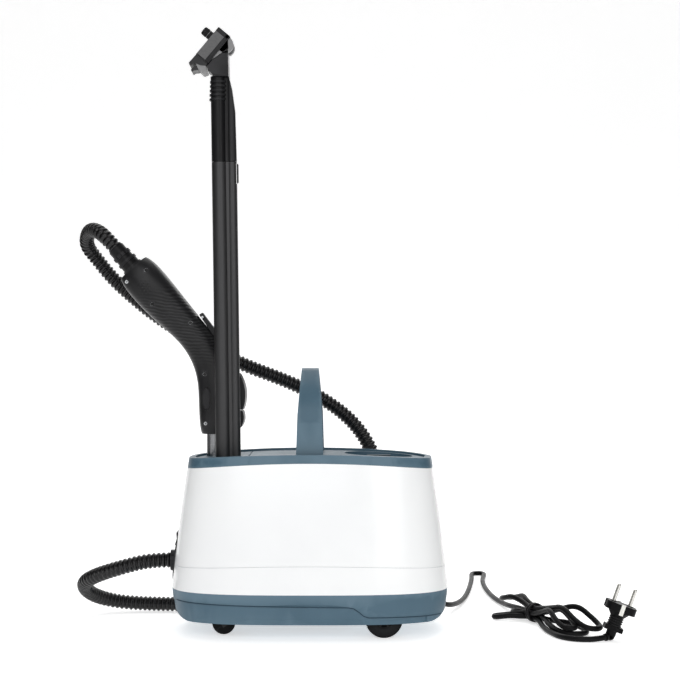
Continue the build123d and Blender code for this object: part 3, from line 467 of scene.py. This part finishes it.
def plain(name, dark, light, rough, grain=1500, depth=0.00004, coat=0.0, metal=0.0, patch=18, edge=None,
          shine=0.5):
    """Moulded plastic or rubber: broad tone variation, a fine moulded grain, and sharp edges a little
    lighter, partly as edge wear and partly as a painted edge highlight.
    """
    shader = Shader(name)
    tone = shader.mix(shader.spread(shader.noise(patch, 4), 0, 1), dark, light)
    # edge: the lighter colour for sharp edges, partly wear and partly a painted highlight
    if edge:
        tone = shader.edge_wear_and_highlight(tone, edge, 0.5)
    shader.link(tone, shader.surface.inputs["Base Color"])
    shader.link(shader.spread(shader.noise(patch * 4, 5), *rough), shader.surface.inputs["Roughness"])
    shader.bump(shader.noise(grain, 2), depth, 0.6)
    shader.surface.inputs["Coat Weight"].default_value = coat
    shader.surface.inputs["Coat Roughness"].default_value = 0.08
    shader.surface.inputs["Metallic"].default_value = metal
    shader.surface.inputs["Specular IOR Level"].default_value = shine
    return shader.material


def blue_plastic():
    """Satin blue-grey moulding with a spark-eroded grain."""
    return plain("blue_plastic", shade(66, 93, 109), shade(73, 100, 116), (0.36, 0.46), grain=1700,
                 shine=0.35, depth=0.00005, edge=shade(104, 128, 142))


def white_gloss():
    """Glossy white moulding with a faint ripple."""
    return plain("white_gloss", shade(244, 245, 246), shade(249, 250, 250), (0.20, 0.27), grain=90,
                 depth=0.00001, coat=0.15, patch=6)


def inner_plastic():
    return plain("inner_plastic", shade(168, 170, 172), shade(186, 188, 190), (0.45, 0.6))


def tank_plastic():
    """Smoky tank wall with a little light through it."""
    material = plain("tank_plastic", shade(128, 148, 158), shade(142, 160, 170), (0.12, 0.2), grain=200,
                     depth=0.00002, coat=0.3)
    material.node_tree.nodes["Principled BSDF"].inputs["Subsurface Weight"].default_value = 0.15
    return material


def dark_plastic():
    return plain("dark_plastic", shade(32, 44, 52), shade(42, 55, 63), (0.34, 0.45), edge=shade(70, 84, 92))


def black_plastic():
    """Satin black moulding: the neck, the sockets and the smooth parts of the handset."""
    return plain("black_plastic", shade(14, 14, 15), shade(22, 22, 24), (0.28, 0.40), grain=1900, shine=0.16,
                 depth=0.00005, edge=shade(58, 58, 60))


def dark_grey_plastic():
    """Grained grey moulding of the head block."""
    return plain("dark_grey_plastic", shade(58, 58, 59), shade(86, 86, 87), (0.48, 0.62), grain=700,
                 shine=0.2,
                 depth=0.00014, patch=420, edge=shade(112, 112, 113))


def mid_grey_plastic():
    return plain("mid_grey_plastic", shade(98, 98, 99), shade(116, 116, 117), (0.42, 0.55), grain=900,
                 depth=0.00008, patch=120, edge=shade(140, 140, 141))


def wheel_grey():
    """Dull rubbery tyre."""
    return plain("wheel_grey", shade(14, 14, 15), shade(24, 24, 25), (0.55, 0.72), grain=1100, depth=0.0001,
                 shine=0.08, edge=shade(48, 49, 50))


def hose_black():
    """Semi-gloss black hose plastic, a little dusty in places, its rib edges a little lighter as wear and as
    a painted highlight.
    """
    return plain("hose_black", shade(7, 7, 8), shade(15, 15, 16), (0.18, 0.30), grain=1600, shine=0.35,
                 depth=0.00003,
                 edge=shade(58, 58, 60))


def cord_black():
    """Soft PVC of the cord and its plug."""
    return plain("cord_black", shade(9, 9, 10), shade(19, 19, 20), (0.30, 0.42), grain=2200, shine=0.08,
                 depth=0.00004,
                 edge=shade(42, 42, 43))


def brushed(name, dark, light, rough, metal, stretch, grain=900, coat=0.0, relief=0.00002):
    """Metal drawn along its length: fine lines of tone, roughness and height."""
    shader = Shader(name)
    lines = shader.noise(grain, 3, shader.stretched(stretch))
    shader.link(shader.mix(shader.spread(lines, 0, 1), dark, light), shader.surface.inputs["Base Color"])
    shader.link(shader.spread(lines, *rough), shader.surface.inputs["Roughness"])
    shader.bump(lines, relief, 0.5)
    shader.surface.inputs["Metallic"].default_value = metal
    shader.surface.inputs["Coat Weight"].default_value = coat
    return shader.material


def silver_tube():
    return brushed("silver_tube", shade(146, 147, 149), shade(162, 163, 165), (0.24, 0.30), 1.0, (1, 1, 0.02),
                   relief=0.000006)


def black_metal():
    """Painted mast: satin black with a faint drawn grain."""
    return brushed("black_metal", shade(62, 62, 63), shade(66, 66, 67), (0.40, 0.46), 0.75, (1, 1, 0.03),
                   relief=0.000004)


def bright_steel():
    return brushed("bright_steel", shade(176, 178, 180), shade(208, 210, 212), (0.2, 0.34), 1.0, (1, 0.1, 1))


def cast_aluminium():
    return plain("cast_aluminium", shade(150, 152, 154), shade(176, 178, 180), (0.38, 0.55), grain=600,
                 depth=0.0002, metal=0.9)


def nickel_pins():
    """Nickel-plated plug pins."""
    return brushed("nickel_pins", shade(188, 187, 183), shade(220, 219, 214), (0.14, 0.26), 1.0, (1, 1, 0.1))


def board_green():
    return plain("board_green", shade(24, 76, 46), shade(34, 96, 58), (0.3, 0.42), coat=0.3)


def grip_black():
    """The handset's black moulding, with soft waved ribs over the grip that fade out at its ends."""
    shader = Shader("grip_black")
    parts = shader.node("ShaderNodeSeparateXYZ")
    shader.link(shader.place, parts.inputs["Vector"])
    across, depth, height = parts.outputs
    drift = shader.math("MULTIPLY", shader.noise(34, 3), 0.009)
    slanted = shader.math("ADD", shader.math("MULTIPLY", across, 0.10), shader.math("ADD", height, drift))
    ribs = shader.math("SINE", shader.math("MULTIPLY", slanted, 2 * pi / 0.0037), 0)
    patches = shader.spread(shader.noise(70, 2), 0.35, 1.0)
    along = shader.math("SUBTRACT", height, shader.math("MULTIPLY", across, 0.35))
    upper = shader.spread(along, 1, 0, 0.440, 0.462)
    lower = shader.spread(height, 0, 1, 0.300, 0.336)
    mask = shader.math("MULTIPLY", shader.math("MULTIPLY", upper, lower), patches)
    pattern = shader.math("MULTIPLY", ribs, mask)
    tone = shader.mix(shader.spread(shader.noise(30, 4), 0, 1), shade(15, 15, 16), shade(23, 23, 25))
    tone = shader.mix(shader.spread(pattern, 0, 1, -0.2, 1.6), tone, shade(52, 52, 54))
    # sharp edges a little lighter: partly wear, partly a painted highlight
    tone = shader.edge_wear_and_highlight(tone, shade(58, 58, 60), 0.4)
    shader.link(tone, shader.surface.inputs["Base Color"])
    shader.link(shader.spread(pattern, 0.42, 0.28, -1.2, 1.2), shader.surface.inputs["Roughness"])
    shader.surface.inputs["Specular IOR Level"].default_value = 0.25
    grain = shader.math("MULTIPLY", shader.noise(1900, 2), 0.12)
    shader.bump(shader.math("ADD", pattern, grain), 0.00022, 0.7)
    return shader.material


MAKERS = (
    blue_plastic, white_gloss, inner_plastic, tank_plastic, dark_plastic, black_plastic, dark_grey_plastic,
    mid_grey_plastic, wheel_grey, hose_black, cord_black, silver_tube, black_metal, bright_steel,
    cast_aluminium, nickel_pins, board_green,
)
MATERIALS = {maker.__name__: maker() for maker in MAKERS}
GRIP = grip_black()
SHADOW = plain("recess_shadow", shade(8, 8, 9), shade(13, 13, 14), (0.5, 0.7))
# painted shade: the grey of the hairline band stands for the shadow in the parting line's gap
SEAM = plain("seam_shade_grey", shade(214, 217, 220), shade(224, 226, 229), (0.3, 0.45))
# painted shade: a darker copy of the pan's blue for the line of shade along its step
STEP_SHADE_BLUE = plain("style_line_blue", shade(38, 58, 71), shade(46, 66, 79), (0.45, 0.6), shine=0.2)
KNOB_LINE = plain("knob_line", shade(120, 120, 121), shade(140, 140, 141), (0.35, 0.5))


def paint(piece, material):
    piece.data.materials.clear()
    piece.data.materials.append(material)
    return piece


def paint_nodes():
    """Every CAD node takes its slot's material, and the handset's halves take the grip."""
    for part in frame["record"]["subparts"]:
        node = NODES[part["node"]]
        paint(node, MATERIALS[part["material_slot"]])
    for name in ("handset_shell_front", "handset_shell_back"):
        paint(NODES[name], GRIP)


# ---------------------------------------------------------------- details of the base
def skin_half(z):
    """Half-length and half-depth of the base's skin at a height."""
    first = 0 if z < SKIN_LEVELS[1][0] else 1
    low, high = SKIN_LEVELS[first], SKIN_LEVELS[first + 1]
    share = (z - low[0]) / (high[0] - low[0])
    return low[1] + (high[1] - low[1]) * share, low[2] + (high[2] - low[2]) * share


def skin_point(turn, crown, lift, out):
    """A point on the skin, at a crowned height plus lift, stood off by out."""
    c, s = cos(turn), sin(turn)
    power = 2 / PLAN_POWER
    x = 0.0
    for _ in range(3):
        z = crown[0] - crown[1] * (x / CROWN_REACH) ** 2 + lift
        half_x, half_y = skin_half(z)
        x = (half_x + out) * abs(c) ** power * (1 if c > 0 else -1)
    y = (half_y + out) * abs(s) ** power * (1 if s > 0 else -1)
    return Vector((x, y, z))


def parting_line_shade_band(name, crown, height, out, material):
    """A hairline band that follows a crowned parting line all the way round, its grey a painted shade for the
    gap of the parting line.
    """
    count = 320
    points = []
    for lift, off in ((-height / 2, -0.0006), (-height / 2, out), (height / 2, out), (height / 2, -0.0006)):
        points += [skin_point(2 * pi * k / count, crown, lift, off) for k in range(count)]
    faces = []
    for row in range(4):
        for k in range(count):
            a, b = row * count + k, row * count + (k + 1) % count
            c = ((row + 1) % 4) * count
            faces.append((a, b, c + (k + 1) % count, c + k))
    band = paint(mesh_from(name, points, faces), material)
    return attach(band, "base")


def make_hub_ribs(side, node, body):
    """Six moulded ribs and a cap on the outer face of a large wheel's hub."""
    low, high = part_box(node)
    centre = (low + high) / 2
    face_y = high.y if side > 0 else low.y
    place = frame_at((centre.x, face_y - side * 0.0008, centre.z), (0, side, 0))
    profile = ((0.0, 0.0), (0.0042, 0.0), (0.0042, 0.0014), (0.0034, 0.0019), (0.0, 0.0019))
    parts = [lathe("cap", [(max(r, 0.00001), h) for r, h in profile], place, 32)]
    for k in range(6):
        turn = Matrix.Rotation(2 * pi * k / 6, 4, "Z")
        corners = [(x, y, z) for z in (0.0, 0.0007) for x, y in ((0.004, -0.0009), (0.0092, -0.0007),
                                                                 (0.0092, 0.0007), (0.004, 0.0009))]
        faces = [(3, 2, 1, 0), (4, 5, 6, 7), (0, 1, 5, 4), (1, 2, 6, 5), (2, 3, 7, 6), (3, 0, 4, 7)]
        parts.append(bevel(mesh_from("rib", [place @ turn @ Vector(c) for c in corners], faces), 0.0002))
    hub = paint(join("hub_ribs_" + ("back" if side > 0 else "front"), parts), MATERIALS["black_plastic"])
    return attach(hub, body)


def make_tread(side, node, body):
    """Fine cross grooves round the tyre of a large wheel, drawn as thin raised bars."""
    low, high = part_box(node)
    centre = (low + high) / 2
    radius = (high.z - low.z) / 2
    width = (high.y - low.y) * 0.36
    parts = []
    for k in range(36):
        turn = Matrix.Rotation(2 * pi * k / 36, 4, "Y")
        place = Matrix.Translation(centre) @ turn
        corners = [(x, y, z) for z in (radius - 0.0006, radius + 0.0001) for x, y in
                   ((-0.0009, -width), (0.0009, -width), (0.0009, width), (-0.0009, width))]
        faces = [(3, 2, 1, 0), (4, 5, 6, 7), (0, 1, 5, 4), (1, 2, 6, 5), (2, 3, 7, 6), (3, 0, 4, 7)]
        parts.append(bevel(mesh_from("bar", [place @ Vector(c) for c in corners], faces), 0.0002, 1))
    tread = paint(join("tread_" + ("back" if side > 0 else "front"), parts), MATERIALS["wheel_grey"])
    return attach(tread, body)


def make_step_shade_line(hand):
    """The dark line along the pan's step, on its front or its back, level with the face above the step: a
    painted shade under the step.
    """
    tree = surface_of("base_pan")
    levels = ((-0.152, 0.0397), (-0.060, 0.0384), (0.044, 0.0370), (0.050, 0.0358), (0.056, 0.0315),
              (0.061, 0.0272), (0.067, 0.0253), (0.132, 0.0246), (0.152, 0.0240))
    width = 0.0010
    points = []
    for (left, low), (right, high) in zip(levels, levels[1:]):
        count = max(2, round((right - left) / 0.002))
        across = Vector((low - high, 0, right - left)).normalized() * width / 2
        for n in range(count):
            share = n / count
            middle = Vector((left + (right - left) * share, hand * 0.2, low + (high - low) * share))
            ledge, _, _, _ = tree.ray_cast(middle + across * 6, Vector((0, -hand, 0)))
            for side in (across, -across):
                edge = middle + side
                points.append((edge.x, ledge.y + hand * 0.00025, edge.z))
    order = (0, 1, 3, 2) if hand > 0 else (0, 2, 3, 1)
    faces = [tuple(k + step for step in order) for k in range(0, len(points) - 2, 2)]
    line = paint(mesh_from("style_line_" + ("back" if hand > 0 else "front"), points, faces), STEP_SHADE_BLUE)
    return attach(line, "base")


def make_bottom_vents():
    """Two rows of cooling slots under the pan, and its four case screws."""
    floor_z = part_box("base_pan")[0].z
    parts = []
    for row in (-0.018, 0.018):
        for k in range(11):
            x = -0.035 + k * 0.007
            outline = [(x + 0.0014 * cos(a), row + 0.011 * (1 if sin(a) > 0 else -1) + 0.0014 * sin(a))
                       for a in [pi * (n + 0.5) / 8 for n in range(16)]]
            points = [(px, py, floor_z + rise) for rise in (-0.00015, 0.0004) for px, py in outline]
            count = len(outline)
            faces = [tuple(reversed(range(count))), tuple(range(count, 2 * count))]
            faces += [(n, (n + 1) % count, count + (n + 1) % count, count + n) for n in range(count)]
            parts.append(mesh_from("slot", points, faces, smooth=False))
    for x in (-0.05, 0.05):
        for y in (-0.05, 0.05):
            place = frame_at((x, y, floor_z + 0.0002), (0, 0, -1))
            profile = ((0.00001, 0.0), (0.0045, 0.0), (0.0045, 0.0003), (0.0028, 0.0003), (0.0028, 0.0001),
                       (0.00001, 0.0001))
            parts.append(lathe("screw", profile, place, 24))
    # painted shade: the slots and the screw recesses are dark shapes standing for the shade inside them
    vents = paint(join("bottom_vents", parts), SHADOW)
    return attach(vents, "base")


# ---------------------------------------------------------------- details of the handset
def islands(node):
    """The centre of each separate solid in a CAD node, with its nearest point to the front."""
    mesh = NODES[node].data
    group = list(range(len(mesh.vertices)))

    def root(k):
        while group[k] != k:
            group[k] = group[group[k]]
            k = group[k]
        return k

    for edge in mesh.edges:
        a, b = root(edge.vertices[0]), root(edge.vertices[1])
        group[a] = b
    found = {}
    welded = {}
    for v in mesh.vertices:
        key = tuple(round(c, 5) for c in v.co)
        if key in welded:
            group[root(v.index)] = root(welded[key])
        welded[key] = v.index
    for v in mesh.vertices:
        found.setdefault(root(v.index), []).append(v.co.copy())
    return [(sum(points, Vector()) / len(points), min(p.y for p in points)) for points in found.values()]


def make_screw_well_shade():
    """A dark disc of painted shade over each sunk housing screw but two, which stay bright, standing for the
    shade in its well, and a dark cross slot of painted shade in each.
    """
    parts = []
    for centre, front_y in islands("handset_screws"):
        place = frame_at((centre.x, front_y, centre.z), (0, -1, 0))
        if centre.z > 0.25 and centre.x > -0.210:
            profile = ((0.00001, 0.0), (0.00195, 0.0), (0.00195, 0.00015), (0.0016, 0.0003),
                       (0.00001, 0.0003))
            parts.append(lathe("face", profile, place, 24))
        for turn in (0, pi / 2):
            spin = place @ Matrix.Rotation(turn + 0.5, 4, "Z")
            parts.append(box_shape("cross", spin, (-0.0013, -0.00025, 0.0), (0.0013, 0.00025, 0.00045),
                                   0.0001))
    faces = paint(join("screw_well_shade", parts), SHADOW)
    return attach(faces, "handset")


def make_grille():
    """Hexagon of small sound holes on the front of the bulb, smaller towards the outside."""
    tree = surface_of("handset_shell_front")
    centre = Vector((-0.1926, 0, 0.3975))
    parts = []
    for row in range(-2, 3):
        for column in range(-2, 3):
            if abs(row + column) > 2:
                continue
            across = 0.0043 * (column + row / 2)
            up = 0.0043 * 0.866 * row
            reach = max(abs(row), abs(column), abs(row + column))
            start = centre + Vector((across, -0.1, up))
            place, normal, _, _ = tree.ray_cast(start, Vector((0, 1, 0)))
            if place is None:
                continue
            radius = (0.00130, 0.00125, 0.0008)[reach]
            profile = ((0.00001, 0.00012), (radius, 0.00012), (radius * 1.15, -0.0003), (0.00001, -0.0003))
            parts.append(lathe("hole", profile, frame_at(place, normal), 16))
    grille = paint(join("grille_holes", parts), SHADOW)
    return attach(grille, "handset")


def make_button_rim(side, node):
    """Dark oval shadow gap round a release button."""
    low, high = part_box(node)
    centre = (low + high) / 2
    tree = surface_of("handset_shell_front" if side < 0 else "handset_shell_back")
    half_x, half_z = (high.x - low.x) / 2, (high.z - low.z) / 2
    rows = []
    count = 72
    for grow, lift in ((0.0001, -0.0006), (0.0001, 0.0002), (0.0009, 0.0003), (0.0012, -0.0004)):
        for k in range(count):
            turn = 2 * pi * k / count
            x = centre.x + (half_x + grow + 0.0008) * cos(turn)
            z = centre.z + (half_z + grow + 0.0008) * sin(turn)
            place, _, _, _ = tree.ray_cast(Vector((x, side * 0.2, z)), Vector((0, -side, 0)))
            y = place.y if place else centre.y
            rows.append(Vector((x, y + side * lift, z)))
    faces = []
    for row in range(4):
        for k in range(count):
            a, b = row * count + k, row * count + (k + 1) % count
            c = ((row + 1) % 4) * count
            faces.append((a, b, c + (k + 1) % count, c + k))
    rim = paint(mesh_from("button_rim_" + ("back" if side > 0 else "front"), rows, faces), SHADOW)
    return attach(rim, "handset")


# ---------------------------------------------------------------- details of the head
def head_place():
    """Frame at the head's pivot: x down the block, z out of its upper face."""
    lean = radians(0.79)
    foot = Vector((-0.0951, -0.013, 0.200))
    along = Vector((-sin(lean), 0, cos(lean)))
    across = Vector((cos(lean), 0, sin(lean)))
    pivot = foot + across * 0.0039 + along * 0.476
    slope = radians(49.3) + lean
    out = Vector((-sin(slope), 0, cos(slope)))
    down = Vector((-cos(slope), 0, -sin(slope)))
    return frame_at(pivot, out, down)


def make_knob_grip():
    """Knurling round the clamping knob, and its pale line."""
    axis = head_place() @ Matrix.Translation((0.0020, 0, 0))
    parts = []
    for k in range(22):
        turn = Matrix.Rotation(2 * pi * k / 22, 4, "Z")
        points = []
        for height, radius in ((0.0262, 0.0048), (0.0316, 0.0044)):
            for lift, spread in ((-0.0003, 0.00045), (0.00055, 0.0002)):
                points += [axis @ turn @ Vector((radius + lift, hand * spread, height)) for hand in (-1, 1)]
        faces = [(0, 1, 3, 2), (4, 6, 7, 5), (0, 4, 5, 1), (2, 3, 7, 6), (0, 2, 6, 4), (1, 5, 7, 3)]
        parts.append(mesh_from("ridge", points, faces))
    knurl = paint(join("knob_knurl", parts), MATERIALS["black_plastic"])
    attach(knurl, "head_knob")
    profile = [(0.0044, 0.0240), (0.0052, 0.0240), (0.0052, 0.0246), (0.0044, 0.0246)]
    line = paint(ring_shape("knob_line", profile, axis, 40), KNOB_LINE)
    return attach(line, "head_knob")


def box_shape(name, place, low, high, width):
    """A box between two corners, placed and with rounded edges."""
    corners = [(x, y, z) for z in (low[2], high[2]) for x, y in
               ((low[0], low[1]), (high[0], low[1]), (high[0], high[1]), (low[0], high[1]))]
    faces = [(3, 2, 1, 0), (4, 5, 6, 7), (0, 1, 5, 4), (1, 2, 6, 5), (2, 3, 7, 6), (3, 0, 4, 7)]
    return bevel(mesh_from(name, [place @ Vector(c) for c in corners], faces), width, 3)


def make_block_band():
    """Black rubber along the lower edge of the head block and round its two ends."""
    place = head_place()
    half_y = 0.01575
    spans = (((-0.01065, 0.0009), (0.03045, 0.0064)), ((-0.01065, 0.0009), (-0.0049, 0.01855)),
             ((0.0282, 0.0009), (0.03045, 0.01855)))
    parts = [box_shape("band", place, (low_x, -half_y, low_z), (high_x, half_y, high_z), 0.0010)
             for (low_x, low_z), (high_x, high_z) in spans]
    band = paint(join("block_band", parts), MATERIALS["black_plastic"])
    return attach(band, "head")


# ---------------------------------------------------------------- details of the cord
def make_tie():
    """The tie round the neck of the hank: two rounded turns side by side."""
    axis = Vector((cos(NECK_HEADING), sin(NECK_HEADING), 0))
    place = frame_at(HANK_TIE, axis, (0, 0, 1))
    parts = []
    for middle in (-0.0021, 0.0021):
        angles = [2 * pi * n / 12 for n in range(12)]
        profile = [(0.0106 + 0.0010 * cos(a), middle + 0.0022 * sin(a)) for a in angles]
        parts.append(ring_shape("turn", profile, place, 64))
    tie = paint(join("hank_tie", parts), MATERIALS["cord_black"])
    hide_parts("cord_tie")
    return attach(tie, "base")


def make_boot_ribs():
    """Flexible ribs along the strain relief, outside the pan."""
    tip, after = Vector(CORD_ROUTE[0]), Vector(CORD_ROUTE[1])
    place = frame_at(tip, after - tip, (0, 0, 1))
    parts = []
    for k in range(5):
        height = -0.0022 - 0.0036 * k
        radius = 0.0040 + 0.0016 * (-height / 0.034)
        profile = [(radius - 0.0004, height - 0.0011), (radius + 0.0007, height - 0.0006),
                   (radius + 0.0007, height + 0.0006),
                   (radius - 0.0004, height + 0.0011)]
        parts.append(ring_shape("rib", profile, place, 36))
    ribs = paint(join("boot_ribs", parts), MATERIALS["cord_black"])
    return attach(ribs, "base")


def make_plug_ribs():
    """Grip ribs round the waist of the plug, and the moulded ring at its face."""
    place = Matrix.Translation(PLUG_FOOT) @ Matrix.Rotation(PLUG_LEAN, 4, "Y")
    parts = []
    for k in range(4):
        height = 0.0135 + 0.0027 * k
        profile = [(0.0070, height - 0.0009), (0.0082, height - 0.0006), (0.0082, height + 0.0006),
                   (0.0070, height + 0.0009)]
        parts.append(ring_shape("rib", profile, place, 40))
    for hand in (-1, 1):
        collar = place @ Matrix.Translation((hand * 0.0095, 0, 0))
        profile = [(0.0023, 0.0372), (0.0036, 0.0372), (0.0036, 0.0384), (0.0031, 0.0387), (0.0023, 0.0387)]
        parts.append(ring_shape("collar", profile, collar, 32))
    ribs = paint(join("plug_ribs", parts), MATERIALS["cord_black"])
    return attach(ribs, "base")


def make_pin_tips():
    """Rounded tips of the plug's two pins."""
    place = Matrix.Translation(PLUG_FOOT) @ Matrix.Rotation(PLUG_LEAN, 4, "Y")
    parts = []
    for hand in (-1, 1):
        tip = place @ Matrix.Translation((hand * 0.0095, 0, 0.0570))
        profile = [(0.0024, -0.0004), (0.0024, 0.0), (0.0021, 0.0006), (0.0014, 0.0011), (0.0006, 0.0013),
                   (0.00001, 0.0013)]
        parts.append(lathe("tip", profile, tip, 24))
    tips = paint(join("pin_tips", parts), MATERIALS["nickel_pins"])
    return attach(tips, "base")


# ---------------------------------------------------------------- stage
def make_stage():
    """Plain pale floor that curves up into the backdrop, soft lamps and an even pale sky."""
    points = []
    faces = []
    outline = [(-4.0, 0.0), (1.2, 0.0)]
    outline += [(1.2 + 3.0 * sin(a), 3.0 - 3.0 * cos(a)) for a in [pi / 2 * n / 16 for n in range(1, 17)]]
    outline.append((4.2, 6.0))
    for y, z in outline:
        points += [(-7, y, z), (7, y, z)]
    for n in range(len(outline) - 1):
        faces.append((2 * n, 2 * n + 1, 2 * n + 3, 2 * n + 2))
    floor = mesh_from("floor", points, faces)
    paint(floor, plain("floor_white", shade(250, 250, 250), shade(252, 252, 252), (0.6, 0.7), patch=2))
    surface = floor.data.materials[0].node_tree.nodes["Principled BSDF"]
    surface.inputs["Emission Color"].default_value = (1, 1, 1, 1)
    surface.inputs["Emission Strength"].default_value = 0.55
    world = bpy.data.worlds.new("sky")
    world.use_nodes = True
    world.node_tree.nodes["Background"].inputs["Color"].default_value = (1, 1, 1, 1)
    world.node_tree.nodes["Background"].inputs["Strength"].default_value = 0.24
    bpy.context.scene.world = world
    lamps = (
        ("key", (-0.5, -2.3, 1.3), (1.6, 1.5), 18),
        ("fill", (1.1, -2.1, 0.9), (1.0, 1.4), 10),
        ("top", (0.0, 0.3, 2.4), (2.0, 1.4), 16),
        ("back", (0.3, 2.0, 1.6), (2.2, 1.2), 10),
    )
    for hand in (-1, 1):
        corners = [(hand * 1.25, y, z) for y, z in ((-0.5, 0.0), (1.0, 0.0), (1.0, 1.5), (-0.5, 1.5))]
        flag = mesh_from("flag_" + ("left" if hand < 0 else "right"), corners, [(0, 1, 2, 3)])
        paint(flag, plain("flag_cloth", shade(60, 60, 60), shade(66, 66, 66), (0.8, 0.9), patch=3))
        flag.visible_camera = False
    for name, place, size, power in lamps:
        data = bpy.data.lights.new(name, "AREA")
        data.shape = "RECTANGLE"
        data.size, data.size_y = size
        data.energy = power
        lamp = bpy.data.objects.new(name, data)
        lamp.location = place
        aim = Vector((0, 0, 0.3)) - Vector(place)
        lamp.rotation_euler = aim.to_track_quat("-Z", "Y").to_euler()
        bpy.context.scene.collection.objects.link(lamp)
    bpy.context.scene.view_settings.view_transform = "Standard"


# ---------------------------------------------------------------- build
paint_nodes()
paint(HOSE, MATERIALS["hose_black"])
paint(MAINS_CORD, MATERIALS["cord_black"])
parting_line_shade_band("waist_seam_shade", SEAM_CROWN, 0.0007, 0.00012, SEAM)
for number, word in ((-1, "front"), (1, "back")):
    make_hub_ribs(number, "wheel_" + word, "wheel_" + word)
    make_tread(number, "wheel_" + word, "wheel_" + word)
    make_step_shade_line(number)
    make_button_rim(number, "release_button_" + word)
make_bottom_vents()
make_screw_well_shade()
make_grille()
make_knob_grip()
make_block_band()
TIE = make_tie()
BOOT_RIBS = make_boot_ribs()
PLUG_RIBS = make_plug_ribs()
PIN_TIPS = make_pin_tips()
make_stage()
bpy.context.view_layer.update()
